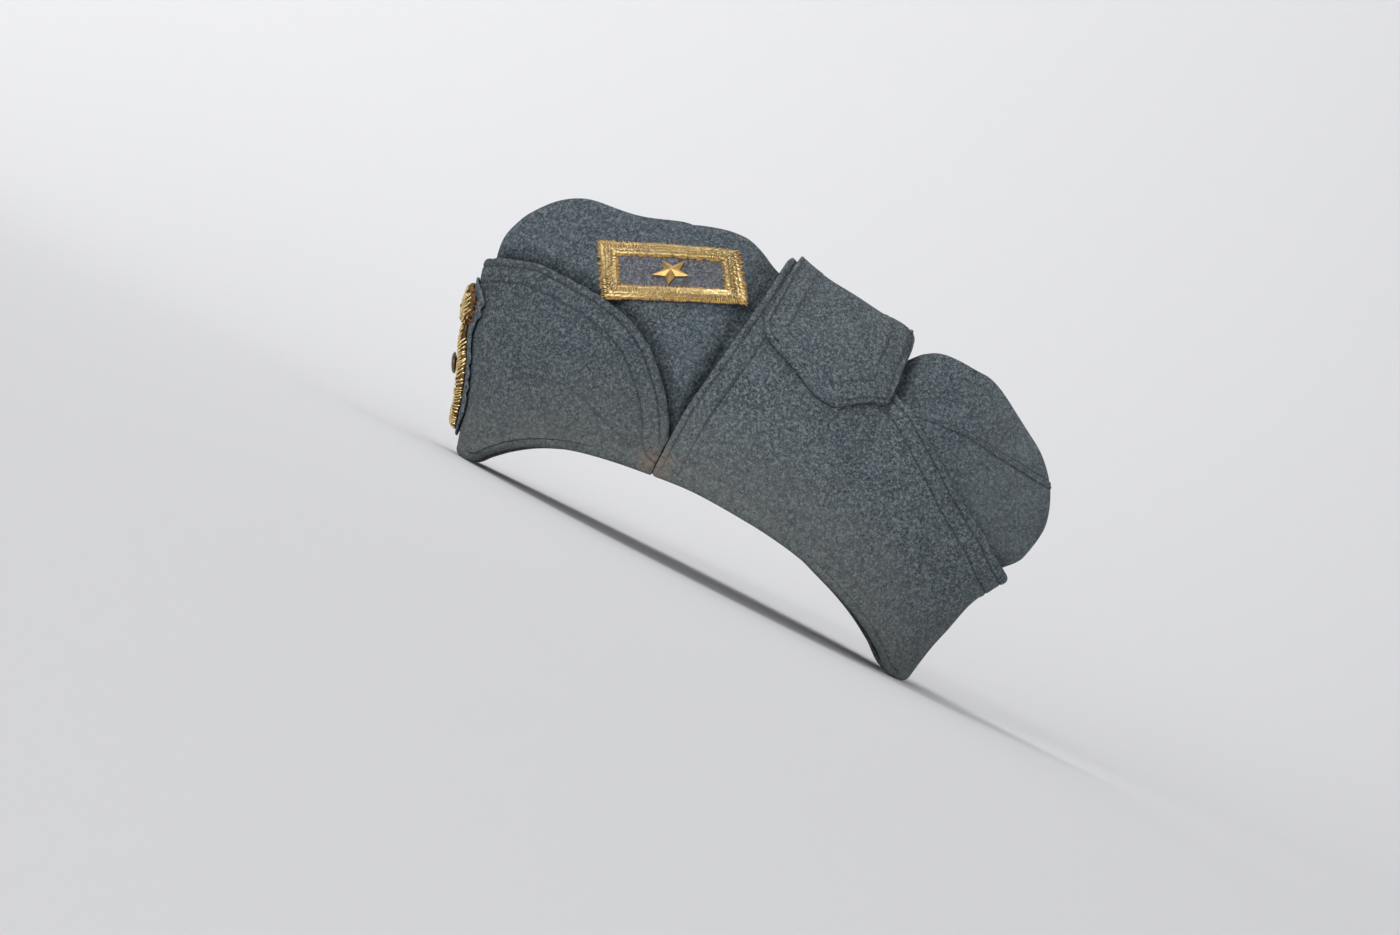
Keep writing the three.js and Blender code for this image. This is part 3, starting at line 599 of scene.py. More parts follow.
def thread(name, colour, worn):
    """Sewing thread, darker in the cloth and bleached where it rubs."""
    made, tree, shader = material(name, roughness=0.7)
    place = node(tree, "ShaderNodeTexCoord").outputs["Object"]
    share = between(tree, noise(tree, place, 260.0, 3.0, 0.6), 0.4, 0.66)
    tree.links.new(mixed(tree, share, colour, worn), shader.inputs["Base Color"])
    twist = noise(tree, place, 1.0, 1.0, 0.5, stretch=(2600, 5200, 2600), turn=(0.4, 0.7, 0.2))
    bumped(tree, shader, twist, 0.4, 0.0002)
    return made


dark_thread = thread("dark sewing thread", (0.03, 0.034, 0.038, 1), (0.085, 0.075, 0.062, 1))

CROWN_COLUMNS = 320
CROWN_ROWS = {"top": 150, "top_inside": 34, "back": 90}
LEVEL_RISE = 165
HALF_SEAM = 0.0012
SEAM_FROM = 0.05
turns = np.arange(CROWN_COLUMNS) * 2 * np.pi / CROWN_COLUMNS
folded_turns = np.arccos(np.cos(turns))
start_column = int(np.flatnonzero(form(turns, np.zeros(CROWN_COLUMNS))[:, 1] > SEAM_RIM_Y)[0])
behind_seam = np.abs(np.arange(CROWN_COLUMNS) - CROWN_COLUMNS / 2) <= CROWN_COLUMNS / 2 - start_column


def over_seam(level):
    point = form(folded_turns, level)
    return point[:, 2] > seam_line(point[:, 1])


seam_levels = solve(np.zeros(CROWN_COLUMNS), np.full(CROWN_COLUMNS, 0.9), over_seam)
seam_levels = np.where(behind_seam, np.maximum(seam_levels, 10 * HALF_SEAM), 0)
sewn_columns = (behind_seam & (seam_levels > SEAM_FROM))[:, None]


def from_seam(levels):
    """Millimetres up or down to the seam, near enough all along it."""
    return np.abs(levels - seam_levels[:, None]) * LEVEL_RISE


def felled(away):
    """How far the felled seam stands up: a band with a groove of stitching on either side."""
    band = FELL["raise"] * (1 - ease((away - FELL["half"]) / 0.7))
    return band - FELL["groove"] * bump(away, FELL["half"], FELL["half_groove"])


def crown_grid(levels, depth):
    """A face of the crown over all its columns, levels [column][row]."""
    angle = np.broadcast_to(turns[:, None], levels.shape)
    seamed = sewn_columns & (depth == 0)
    return offset(crown, angle, levels, np.where(seamed, felled(from_seam(levels)), 0) - depth)


def spaced_levels(low, high, rows, crowding):
    """Levels for each column, closer together at its low end where crowding is over 1."""
    t = np.linspace(0, 1, rows) ** crowding
    return low[:, None] + (high - low)[:, None] * t[None]


# Painted shade in the gutters beside the turned-up edges: how dark and how wide, in the notch and behind.
GUTTER_SHADE = {"depth": (0.75, 0.3), "reach": (4.5, 3.0)}  # in the notch, and behind
# How much paler the lobe is made towards the back, from where and over how much.
BACK_PALING = {"share": 1.3, "from": 172, "over": 42}


def crown_marks(outer, inner, levels):
    """Painted shade in the seam's stitched grooves and in the gutters beside the turned-up edges, and the
    lobe behind made paler towards the back.
    """
    # Painted shade along the seam's two stitched grooves and in the gutters beside the turned-up edges, where
    # shadow falls.
    sewn = 0.9 * bump(from_seam(levels), FELL["half"], FELL["half_groove"]) * sewn_columns
    y, z = outer[..., 1], outer[..., 2]
    depth, reach = (np.where(y < NOTCH_BACK, *GUTTER_SHADE[key]) for key in ("depth", "reach"))
    gutter_shade = depth * (1 - ease(clear_of_edges(y, z, levels) / reach))
    # The lobe made paler towards the back, carried by the wear mark.
    paler_behind = BACK_PALING["share"] * ease((y - BACK_PALING["from"]) / BACK_PALING["over"])
    unseen = np.zeros(inner.shape[:2]).ravel()
    return {
        "groove": np.concatenate([np.maximum(sewn, gutter_shade).ravel(), unseen]),
        "wear": np.concatenate([paler_behind.ravel(), unseen]),
    }


low_levels = np.where(behind_seam, seam_levels + HALF_SEAM, 0)
ridge_levels = np.ones(CROWN_COLUMNS)
top_levels = spaced_levels(low_levels, ridge_levels, CROWN_ROWS["top"], 1.5)
top_outer = crown_grid(top_levels, 0)
inside_levels = spaced_levels(low_levels, ridge_levels, CROWN_ROWS["top_inside"], 0.8)
top_inner = crown_grid(inside_levels, CROWN_CLOTH)
crown_top = new_piece(
    "crown_top_cloth", *wall(top_outer, top_inner, closed=True, collapsed=True),
    crown_wool, "crown_wool", ["crown_top"], crown_marks(top_outer, top_inner, top_levels),
)

back_columns = slice(start_column, CROWN_COLUMNS - start_column + 1)
back_high = np.maximum(seam_levels - HALF_SEAM, 0.005)
back_levels = spaced_levels(back_high, np.zeros(CROWN_COLUMNS), CROWN_ROWS["back"], 1.5)[:, ::-1]
back_outer, back_inner = crown_grid(back_levels, 0), crown_grid(back_levels, CROWN_CLOTH)
back_marks = crown_marks(back_outer, back_inner, back_levels)
back_marks = {key: m.reshape(2, CROWN_COLUMNS, -1)[:, back_columns] for key, m in back_marks.items()}
crown_back = new_piece(
    "crown_back_cloth", *wall(back_outer[back_columns], back_inner[back_columns]), crown_wool, "crown_wool",
    ["crown_back"], back_marks,
)

TURNED_IN = {"half": 0.028, "gap": 0.12}  # half its height in levels, and its distance from the crown inside
allowance = back_high[:, None] + np.linspace(-TURNED_IN["half"], TURNED_IN["half"], 9)[None]
allowance_faces = [
    crown_grid(allowance, depth)[back_columns] for depth in (CROWN_CLOTH + TURNED_IN["gap"], 2 * CROWN_CLOTH)
]
seam_allowance = new_piece("crown_seam_allowance", *wall(*allowance_faces), crown_wool, "crown_wool")


def crown_path(levels):
    """A line round the crown at a level for each column, with its normals."""
    steps = (-0.002, 0, 0.002)
    grid = np.stack([crown_grid((levels + step)[:, None], 0)[:, 0] for step in steps], 1)
    return np.concatenate([grid[:, 1], grid_normals(grid)[:, 1]], -1)


seam_paths = []
for side in (-1, 1):
    row_levels = seam_levels + side * FELL["half"] / LEVEL_RISE
    seam_paths.append(crown_path(np.clip(row_levels, 0, 0.98))[back_columns][6:-6])
sew("crown_seam_stitches", seam_paths, 11, dark_thread, "crown_wool")

# Front flap ----------------------------------------------------------------------------------------------
# Two layers of the cap's wool, seamed and pressed, and turned up round the rim from under the crown. The top
# edge is stitched twice, a faint curved seam crosses each temple, and the ends meet the curtain in a notch.
FLAP_CLOTH = 3.0
FOLD_GAP = 0.8
RIM_INSIDE = 2.4
FLAP_SEAM = [  # y, z of the faint curved seam over each temple
    (5.6, 38.3), (14, 43.6), (26.3, 46.9), (35.5, 46.4), (44.6, 42.2), (53.9, 39.8), (63.3, 36.7),
]
HEM = {"rows": (3.0, 10.2), "raise": 0.4, "groove": 0.5, "half_groove": 0.42, "edge": 1.6, "round": 0.6}
FLAP_RIM_ROW = 5.2
FLAP_RUN = 330
FLAP_GRID = (260, 92)
RIM_PITCH = 3.4
RUST = {"y": 75, "z": 35, "reach": 8.5}
# Soil at the rim's edge and, over the lower part of the pieces, painted light.
RIM_SOIL_AND_PAINTED_LIGHT = [(0.45, 1, 10), (0.8, 8, 40)]  # share, from and over how much above the rim it thins out


def flap_stand(angle, level):
    return GAP + (0.7 + 1.8 * np.sin(angle) ** 2) * ease(level / 0.45)


def flap_outer(angle, level, extra=0.0):
    return offset(form, angle, level, flap_stand(angle, level) + FLAP_CLOTH + extra)


def fold_profile():
    """Round the rim from the outer face to under the crown: shifts from the form and drops, well rounded."""
    outside = GAP + FLAP_CLOTH
    corners = [  # out from the form, up
        (outside, -0.2), (outside - 0.3, -1.5), (outside - 1.2, -2.8), (outside - 2.6, -RIM_DROP),
        (1 - RIM_INSIDE, -RIM_DROP), (-RIM_INSIDE, -2.5), (-RIM_INSIDE, -FOLD_GAP), (GAP, -FOLD_GAP),
    ]
    line = np.array(corners, float)
    for _ in range(2):  # each round cuts every corner off
        cut = np.stack([line[:-1] * 0.75 + line[1:] * 0.25, line[:-1] * 0.25 + line[1:] * 0.75], 1)
        line = np.concatenate([line[:1], cut.reshape(-1, 2), line[-1:]])
    return line[1:]


FOLD = fold_profile()
TOP_EDGE = np.array([(0.5 + 0.5 * np.cos(a), np.sin(a)) for a in np.linspace(0, np.pi, 9)[1:-1]])


def hemmed(distance):
    """Height of a turned and twice stitched edge, by the distance from it."""
    flat = 1 - ease((distance - HEM["rows"][1] - 1.2) / 2.0)
    grooves = sum(bump(distance, row, HEM["half_groove"]) for row in HEM["rows"])
    close = np.clip(1 - distance / HEM["edge"], 0, 1)
    return HEM["raise"] * flat - HEM["groove"] * grooves - HEM["round"] * (1 - np.sqrt(1 - close**2))


def grooved(distance, rows=HEM["rows"]):
    """How deep in a stitched groove a place is, by the distance from the edge."""
    return np.clip(sum(bump(distance, row, HEM["half_groove"]) for row in rows), 0, 1)


def tube_quads(index):
    """Quads of a tube open at both ends, from the point numbers of its rings [ring][place round]."""
    a, b = index[:-1], index[1:]
    return np.stack([a, np.roll(a, -1, 1), np.roll(b, -1, 1), b], -1).reshape(-1, 4)


def turn_up_grids(columns, rows, angle_of, top, stand_of, crowd):
    """Shares across and up of a turned-up piece, crowded towards the ends, and its angles and levels."""
    u = np.linspace(0, 1, columns)
    u = u - crowd * np.sin(2 * np.pi * u) / (2 * np.pi)
    share = np.linspace(0, 1, rows)
    share = share + 0.35 * np.sin(np.pi * share) / np.pi * share
    level = top(u)[:, None] * np.clip(share, 0, 1)[None]
    angle = angle_of(u[:, None], level)
    return u, angle, level, stand_of(angle, level)


def turn_up(u, angle, level, stand, angle_of, extra, taper):
    """Points and faces of a piece turned up round the rim: outer face, fold, inner face and top edge."""
    half = FLAP_CLOTH / 2
    middle = stand + half
    thin = taper[:, None]
    outer = offset(form, angle, level, middle + half * thin + extra)
    inner = offset(form, angle, level, middle - half * thin)
    foot = offset(form, angle_of(u, 0 * u), 0 * u, 0 * u)
    side = outward(form, angle_of(u, 0 * u), 0 * u)
    centre = FOLD.mean(0)
    turned = (FOLD[None] - centre) * (0.35 + 0.65 * thin[..., None]) + centre
    folded = foot[:, None] + side[:, None] * turned[..., :1]
    folded[..., 2] += turned[..., 1]
    ahead = unit(outer[:, -1] - outer[:, -2])[:, None]
    tip = [outer[:, -1:] * f + inner[:, -1:] * (1 - f) + ahead * rise * 1.3 for f, rise in TOP_EDGE]
    loop = np.concatenate([outer[:, ::-1], folded, inner, *tip[::-1]], 1)
    columns, count = loop.shape[:2]
    rows = outer.shape[1]
    index = np.arange(columns * count).reshape(columns, count)
    faces = tube_quads(index).tolist()
    first_inner = rows + len(FOLD)
    for end, flip in ((index[0], 1), (index[-1], -1)):
        caps = [
            [end[rows - 1 - k], end[first_inner + k], end[first_inner + k + 1], end[rows - 2 - k]]
            for k in range(rows - 1)
        ]
        caps.append([end[k] for k in range(rows - 1, first_inner + 1)])
        caps.append([end[0], *[end[k] for k in range(first_inner + rows - 1, count)]])
        faces += [cap[::flip] for cap in caps]
    return outer, loop.reshape(-1, 3), faces


def end_taper(u, length):
    """How full the cloth is near its cut ends, which are rounded."""
    close = np.clip(1 - np.minimum(u, 1 - u) * length / 1.4, 0, 1)
    return 0.2 + 0.8 * np.sqrt(1 - close**2)


def cloth_marks(points):
    """Pale soil along the rim and round the notches, with painted light over the lower part of the pieces,
    and the rust stain at the left one.
    """
    x, y, z = points.reshape(-1, 3).T
    over_rim = z - rim_line(y)
    # Soil near the rim's edge; the broad band above it is painted light that makes the lower part paler.
    soil_and_painted_light = sum(share * (1 - ease((over_rim - low) / over)) for share, low, over in RIM_SOIL_AND_PAINTED_LIGHT)
    soil_and_painted_light = soil_and_painted_light + 0.6 * bump(y, RUST["y"], 7) * (1 - ease((z - 44) / 16))
    near = np.sqrt((y - RUST["y"] + 1) ** 2 + (z - RUST["z"]) ** 2)
    rust = (1 - ease((near - 2) / RUST["reach"])) * (x > 0)
    wear = 1 - ease((over_rim + 1) / 4)
    return {"soil_and_painted_light": np.clip(soil_and_painted_light, 0, 1), "rust": rust, "wear": wear}


def loop_marks(points, face_marks):
    """Marks for every point of a turned-up piece, with the painted shade of its outer face's stitched
    grooves, weaker near the rim.
    """
    columns, rows = face_marks.shape
    whole = np.zeros((columns, len(points) // columns))
    whole[:, :rows] = face_marks[:, ::-1]
    _, y, z = points.reshape(columns, -1, 3).transpose(2, 0, 1)
    # How strong the painted shade in the grooves is: weaker near the rim.
    groove_shade_share = 0.35 + 0.65 * ease((z - rim_line(y) - 4) / 34)
    return {**cloth_marks(points), "groove": whole * groove_shade_share}


flap_wool = wool("flap wool", (0.015, 0.028, 0.043, 1), (0.058, 0.08, 0.096, 1), (0.19, 0.218, 0.226, 1))


def flap_angle(u, level):
    return (2 * u - 1) * angle_at(JOIN_Y, level)


def flap_top(u):
    def above(level):
        point = flap_outer(flap_angle(u, level), level)
        return point[..., 2] > flap_edge(point[..., 1])

    return solve(np.full(u.shape, 0.05), np.full(u.shape, 0.7), above)


flap_shares, flap_turns, flap_levels, flap_stands = turn_up_grids(
    *FLAP_GRID, flap_angle, flap_top, flap_stand, 0.35
)
flat_flap = flap_outer(flap_turns, flap_levels)
flap_from_top = distances(flat_flap, refine(flat_flap[:, -1]))
seam_y, seam_z = refine(FLAP_SEAM, 0.5).T
temple_level = level_at(seam_y, seam_z, flap_outer)
temple_seam = flap_outer(angle_at(seam_y, temple_level), temple_level)
temple_seams = [temple_seam, temple_seam * [-1, 1, 1]]
flap_from_seam = distances(flat_flap, np.concatenate(temple_seams))
flap_from_rim = distances(flat_flap, refine(flat_flap[:, 0]))
flap_extra = hemmed(flap_from_top) - 0.3 * bump(flap_from_seam, 0, 0.55)
flap_extra = flap_extra - 0.12 * bump(flap_from_rim, FLAP_RIM_ROW, 0.45)
# Painted shade in the stitched grooves of the top edge, the temple seams and the rim's row.
flap_groove_shade = grooved(flap_from_top) + 0.5 * bump(flap_from_seam, 0, 0.6)
flap_groove_shade = np.clip(flap_groove_shade + 0.3 * bump(flap_from_rim, FLAP_RIM_ROW, 0.4), 0, 1)
flap_face, flap_points, flap_faces = turn_up(
    flap_shares, flap_turns, flap_levels, flap_stands, flap_angle, flap_extra,
    end_taper(flap_shares, FLAP_RUN),
)
front_flap = new_piece(
    "front_flap_cloth", flap_points, flap_faces, flap_wool, "flap_wool", ["front_flap"],
    loop_marks(flap_points, flap_groove_shade),
)


def edge_path(grid, field, value, others=(), lines="columns"):
    """The row of stitches at a distance from one edge, where it keeps as far from the other edges."""
    normals = grid_normals(grid)
    fits = np.ones(field.shape, bool)
    for other, least in others:
        fits &= other >= least
    if lines == "rows":
        grid, normals, field, fits = (np.swapaxes(g, 0, 1) for g in (grid, normals, field, fits))
    found = []
    for line, lift, run, ok in zip(grid, normals, field, fits):
        crossings = np.flatnonzero(((run[:-1] - value) * (run[1:] - value) <= 0) & ok[:-1])
        if len(crossings):
            k = crossings[-1] if lines == "columns" else crossings[0]
            t = np.clip((value - run[k]) / (run[k + 1] - run[k] + 1e-9), 0, 1)
            found.append(np.concatenate([line[k] * (1 - t) + line[k + 1] * t, lift[k]]))
    return np.array(found)


flap_rows = [edge_path(flap_face, flap_from_top, row) for row in HEM["rows"]]
sew("flap_edge_stitches", flap_rows, 21, dark_thread, "flap_wool")
brown_thread = thread("brown sewing thread", (0.06, 0.045, 0.034, 1), (0.14, 0.1, 0.07, 1))
SEAM_BARE = 60  # steps of the temple's seam before its thread shows
seam_thread = []
for line in temple_seams:
    lift = unit(line * [1, 0, 0] + [0, 0, 4.0])
    seam_thread.append(np.concatenate([line, lift], -1)[SEAM_BARE:])
sew("flap_seam_stitches", seam_thread, 23, brown_thread, "flap_wool", pitch=3.0, thickness=0.3)
flap_rim_path = edge_path(flap_face, flap_from_rim, FLAP_RIM_ROW)
sew("flap_rim_stitches", [flap_rim_path], 22, brown_thread, "flap_wool", pitch=RIM_PITCH)

# Curtain -------------------------------------------------------------------------------------------------
# Two layers of wool that would cover ears and neck, turned up round the sides and nape from under the crown
# and closed over the ridge. The edges are turned in and stitched twice, so they stand up as a welt.
CURTAIN_TOP = 0.965
CURTAIN_RIM_ROW = 6.2
CURTAIN_RUN = 300
CURTAIN_GRID = (330, 118)


def curtain_stand(angle, level):
    base = form(angle, level)
    y, z = base[..., 1], base[..., 2]
    front = 1.6 * ease((96 - y) / 18) * ease(level / 0.25)
    nape = 2.3 * ease((-np.cos(angle) - 0.45) / 0.5) * ease((z - 8) / 46)
    return GAP + 0.6 * ease(level / 0.3) + front + nape


def curtain_outer(angle, level):
    return offset(form, angle, level, curtain_stand(angle, level) + FLAP_CLOTH)


def curtain_angle(u, level):
    start = angle_at(curtain_front(level), level)
    return start + u * 2 * (np.pi - start)


def curtain_top(u):
    def above(level):
        point = curtain_outer(curtain_angle(u, level), level)
        return point[..., 2] > curtain_edge(point[..., 1])

    return solve(np.full(u.shape, 0.05), np.full(u.shape, CURTAIN_TOP), above)


curtain_wool = wool(
    "curtain wool", (0.016, 0.031, 0.048, 1), (0.078, 0.104, 0.123, 1), (0.24, 0.275, 0.28, 1)
)
curtain_shares, curtain_turns, curtain_levels, curtain_stands = turn_up_grids(
    *CURTAIN_GRID, curtain_angle, curtain_top, curtain_stand, 0.5
)
flat_curtain = curtain_outer(curtain_turns, curtain_levels)
curtain_from_top = distances(flat_curtain, refine(flat_curtain[:, -1]))
curtain_ends = np.concatenate([refine(flat_curtain[0]), refine(flat_curtain[-1])])
curtain_from_front = distances(flat_curtain, curtain_ends)
curtain_from_rim = distances(flat_curtain, refine(flat_curtain[:, 0]))
curtain_from_edge = np.minimum(curtain_from_top, curtain_from_front)
inside_hem = curtain_from_edge > HEM["rows"][0]
curtain_extra = hemmed(curtain_from_edge)
curtain_extra = curtain_extra - 0.1 * bump(curtain_from_rim, CURTAIN_RIM_ROW, 0.45) * inside_hem
# Painted shade in the stitched grooves of the hem and the rim's row.
curtain_groove_shade = grooved(curtain_from_edge)
curtain_groove_shade = curtain_groove_shade + 0.25 * bump(curtain_from_rim, CURTAIN_RIM_ROW, 0.4) * inside_hem
curtain_groove_shade = np.clip(curtain_groove_shade, 0, 1)
curtain_face, curtain_points, curtain_faces = turn_up(
    curtain_shares, curtain_turns, curtain_levels, curtain_stands, curtain_angle, curtain_extra,
    end_taper(curtain_shares, CURTAIN_RUN),
)
curtain = new_piece(
    "curtain_cloth", curtain_points, curtain_faces, curtain_wool, "flap_wool", ["curtain"],
    loop_marks(curtain_points, curtain_groove_shade),
)
curtain_rows = []
half_columns = len(curtain_shares) // 2
for row in HEM["rows"]:
    curtain_rows.append(edge_path(curtain_face, curtain_from_top, row, [(curtain_from_front, row)]))
    for side, way in ((slice(None, half_columns), 1), (slice(half_columns, None), -1)):
        grids = (curtain_face, curtain_from_front, curtain_from_top)
        faced, from_front, from_top = (grid[side][::way] for grid in grids)
        path = edge_path(faced, from_front, row, [(from_top, row)], "rows")
        path[:, 3:] *= way
        curtain_rows.append(path)
sew("curtain_edge_stitches", curtain_rows, 31, dark_thread, "flap_wool")
in_rows = [(curtain_from_edge, HEM["rows"][0])]
curtain_rim_path = edge_path(curtain_face, curtain_from_rim, CURTAIN_RIM_ROW, in_rows)
sew("curtain_rim_stitches", [curtain_rim_path], 32, brown_thread, "flap_wool", pitch=RIM_PITCH)

# Closing tab ---------------------------------------------------------------------------------------------
# A pointed strap of the same wool, sewn to the curtain on the right. It crosses the ridge and lies on the
# left side, where it closes the curtain. Its edges are turned in and stitched close by and again 10 mm in.
TAB = {"front": 87.4, "back": 150.4, "sewn": 121, "cloth": 2.6, "gap": 0.95, "edge": 1.3}
TAB_COLUMNS = 96
TAB_CROSSWISE = 133
TAB_PITCH = 2.4
TAB_EDGE = [  # y, z of its lower edge on the left
    (87.6, 108.5), (90.5, 104.2), (107, 96.3), (122, 89.8), (126, 89.6), (139, 98), (148.5, 102.4),
    (150.6, 104.5),
]
TAB_ROWS = (1.9, 10.0)
(tab_edge,) = smooth(TAB_EDGE)


def tab_stand(angle, level):
    return curtain_stand(angle, level) + FLAP_CLOTH + TAB["gap"]


def tab_face(angle, level):
    return offset(form, angle, level, tab_stand(angle, level) + TAB["cloth"])


tab_s = np.linspace(0, 1, TAB_COLUMNS)
tab_s = tab_s - 0.6 * np.sin(2 * np.pi * tab_s) / (2 * np.pi)
tab_across = np.linspace(1, -1, TAB_CROSSWISE)
tab_across = tab_across + 0.35 * np.sin(np.pi * tab_across) / np.pi
tab_y = TAB["front"] + (TAB["back"] - TAB["front"]) * tab_s
free_low, sewn_low = (level_at(tab_y, z, tab_face)[:, None] for z in (tab_edge(tab_y), TAB["sewn"]))
side_low = np.where(tab_across[None] < 0, sewn_low, free_low)
tab_level = 1 - (1 - side_low) * np.abs(tab_across[None]) ** 1.25
tab_angle = angle_at(tab_y[:, None], tab_level) * np.where(tab_across < 0, -1, 1)[None]
tab_foot = tab_stand(tab_angle, tab_level)
flat_tab = offset(form, tab_angle, tab_level, tab_foot + TAB["cloth"])
tab_rim = [refine(side) for side in (flat_tab[0], flat_tab[-1], flat_tab[:, 0], flat_tab[:, -1])]
tab_from_edge = distances(flat_tab, np.concatenate(tab_rim))
close = np.clip(1 - tab_from_edge / TAB["edge"], 0, 1)
round_off = (1 - np.sqrt(1 - close**2)) * TAB["cloth"] * 0.42
tab_welt = 0.35 * (1 - ease((tab_from_edge - TAB_ROWS[1] - 1) / 2))
tab_extra = tab_welt - sum(0.25 * bump(tab_from_edge, row, HEM["half_groove"]) for row in TAB_ROWS)
# Painted shade in the tab's two stitched grooves.
tab_groove_shade = grooved(tab_from_edge, TAB_ROWS)
tab_outer = offset(form, tab_angle, tab_level, tab_foot + TAB["cloth"] + tab_extra - round_off)
tab_inner = offset(form, tab_angle, tab_level, tab_foot + round_off)
tab_points, tab_faces = wall(tab_outer, tab_inner)
tab_marks = {**cloth_marks(tab_points), "groove": np.stack([tab_groove_shade, 0 * tab_groove_shade])}
closing_tab = new_piece(
    "closing_tab_cloth", tab_points, tab_faces, curtain_wool, "flap_wool", ["closing_tab"], tab_marks
)
tab_paths = []
half_tab = TAB_COLUMNS // 2
for row in TAB_ROWS:
    for part, way in ((slice(None, half_tab), -1), (slice(half_tab, None), 1)):
        face, field = (grid[part][::way] for grid in (tab_outer, tab_from_edge))
        tab_paths.append(edge_path(face, field, row, (), "rows"))
sew("tab_edge_stitches", tab_paths, 41, brown_thread, "flap_wool", pitch=TAB_PITCH)

# Rank patch ----------------------------------------------------------------------------------------------
# A four-sided piece of grey cloth sewn to the crown on the left, framed in woven gold lace: bands of slanted
# metal thread that meet in a zigzag, mitred at the corners and frayed along the edges. On it sits a small
# pressed brass star.
PATCH_CORNERS = [  # y, z: front low and high, back high and low
    (23.9, 86.9), (10.6, 108.2), (64.2, 130.9), (77.3, 112),
]
PATCH = {"cloth": 1.1, "braid": 1.3, "band": 0.115, "ratio": 1.8, "long": 60, "short": 23}
PATCH_GRID = (70, 40)
ON_PATCH = GAP + PATCH["cloth"]
STAR = {"radius": 8.3, "height": 2.2, "inner": 0.44, "at": (0.505, 0.505), "turn": -0.04, "worn": 0.13}


def patch_face(angle, level):
    return offset(form, angle, level, ON_PATCH + PATCH["braid"])


def on_patch(along, up, distance):
    """A place on the patch: along from front to back, up from low to high, at a distance from the crown."""
    along, up = np.broadcast_arrays(np.asarray(along, float), np.asarray(up, float))
    (ay, az), (by, bz), (cy, cz), (dy, dz) = PATCH_CORNERS
    y = (ay + (dy - ay) * along) * (1 - up) + (by + (cy - by) * along) * up
    z = (az + (dz - az) * along) * (1 - up) + (bz + (cz - bz) * along) * up
    level = level_at(y, z, patch_face)
    return offset(form, angle_at(y, level), level, distance)


patch_wool = wool("patch wool", (0.04, 0.043, 0.054, 1), (0.115, 0.122, 0.14, 1), (0.27, 0.277, 0.3, 1))
patch_s, patch_t = np.meshgrid(*(np.linspace(0, 1, count) for count in PATCH_GRID), indexing="ij")
rank_patch = new_piece(
    "rank_patch_cloth",
    *wall(on_patch(patch_s, patch_t, ON_PATCH), on_patch(patch_s, patch_t, GAP)),
    patch_wool, "patch_wool", ["rank_patch"],
)


def metal(name, light, dark, rough, grain):
    """Metal with a worn, uneven tone."""
    made, tree, shader = material(name, metallic=1.0, roughness=rough)
    place = node(tree, "ShaderNodeTexCoord").outputs["Object"]
    share = between(tree, noise(tree, place, grain, 4.0, 0.65), 0.34, 0.68)
    tree.links.new(mixed(tree, share, light, dark), shader.inputs["Base Color"])
    fine = noise(tree, place, grain * 6, 2.0, 0.6)
    bumped(tree, shader, fine, 0.35, 0.0001)
    return made


gold_thread = metal("gold lace thread", (1.0, 0.84, 0.46, 1), (0.42, 0.26, 0.08, 1), 0.22, 900.0)
lace_ground = metal("lace ground", (0.36, 0.23, 0.08, 1), (0.16, 0.1, 0.04, 1), 0.55, 500.0)
lace_silk, _, _ = material("lace silk core", base_color=(0.62, 0.34, 0.07, 1), roughness=0.6)
star_brass = metal("star brass", (0.76, 0.5, 0.18, 1), (0.46, 0.29, 0.1, 1), 0.4, 260.0)


def lace_sides():
    """The four sides round the patch, each from corner to corner, long and short in turn."""
    corners = np.array([(0, 0), (1, 0), (1, 1), (0, 1)], float)
    return list(zip(corners, np.roll(corners, -1, 0)))


def lace_place(corner_line, across):
    """Places in patch shares: on the line of corners, moved in by a share of the band."""
    inset = PATCH["band"] * across
    shrink = np.stack([1 - 2 * inset, 1 - 2 * inset * PATCH["ratio"]], -1)
    return np.stack([inset, inset * PATCH["ratio"]], -1) + corner_line * shrink


def lace_base():
    """The woven ground of the lace: one closed ring, mitred at its corners."""
    sides = zip(lace_sides(), (60, 34, 60, 34))
    line = np.concatenate([a + (b - a) * np.linspace(0, 1, n + 1)[:-1, None] for (a, b), n in sides])
    profile = [(1, 0), (0.02, 0), (0.02, 0.35), (0.12, 0.6), (0.5, 0.66), (0.88, 0.6), (1, 0.35)]
    rings = []
    for share, rise in profile:
        shares = lace_place(line, np.full(len(line), share))
        rings.append(on_patch(shares[:, 0], shares[:, 1], ON_PATCH + rise * PATCH["braid"]))
    points = np.stack(rings, 1)
    count = points.shape[1]
    index = np.arange(points.size // 3).reshape(-1, count)
    after = np.roll(index, -1, 0)
    faces = np.stack([index, after, np.roll(after, -1, 1), np.roll(index, -1, 1)], -1).reshape(-1, 4)
    return points.reshape(-1, 3), faces


new_piece("rank_lace_ground", *lace_base(), lace_ground, "gold_braid", ["rank_braid"])

LACE_BANDS = [  # from, to (shares of the width), lean, spacing, raised
    (-0.02, 0.3, 1.0, 0.9, 0.0), (0.28, 0.52, 1.0, 1.25, 0.1), (0.48, 0.72, -1.0, 1.25, 0.12),
    (0.7, 1.02, -1.0, 0.9, 0.0),
]
LACE = {"thick": 0.62, "loose_ends": 1100, "loose_thick": 0.36}


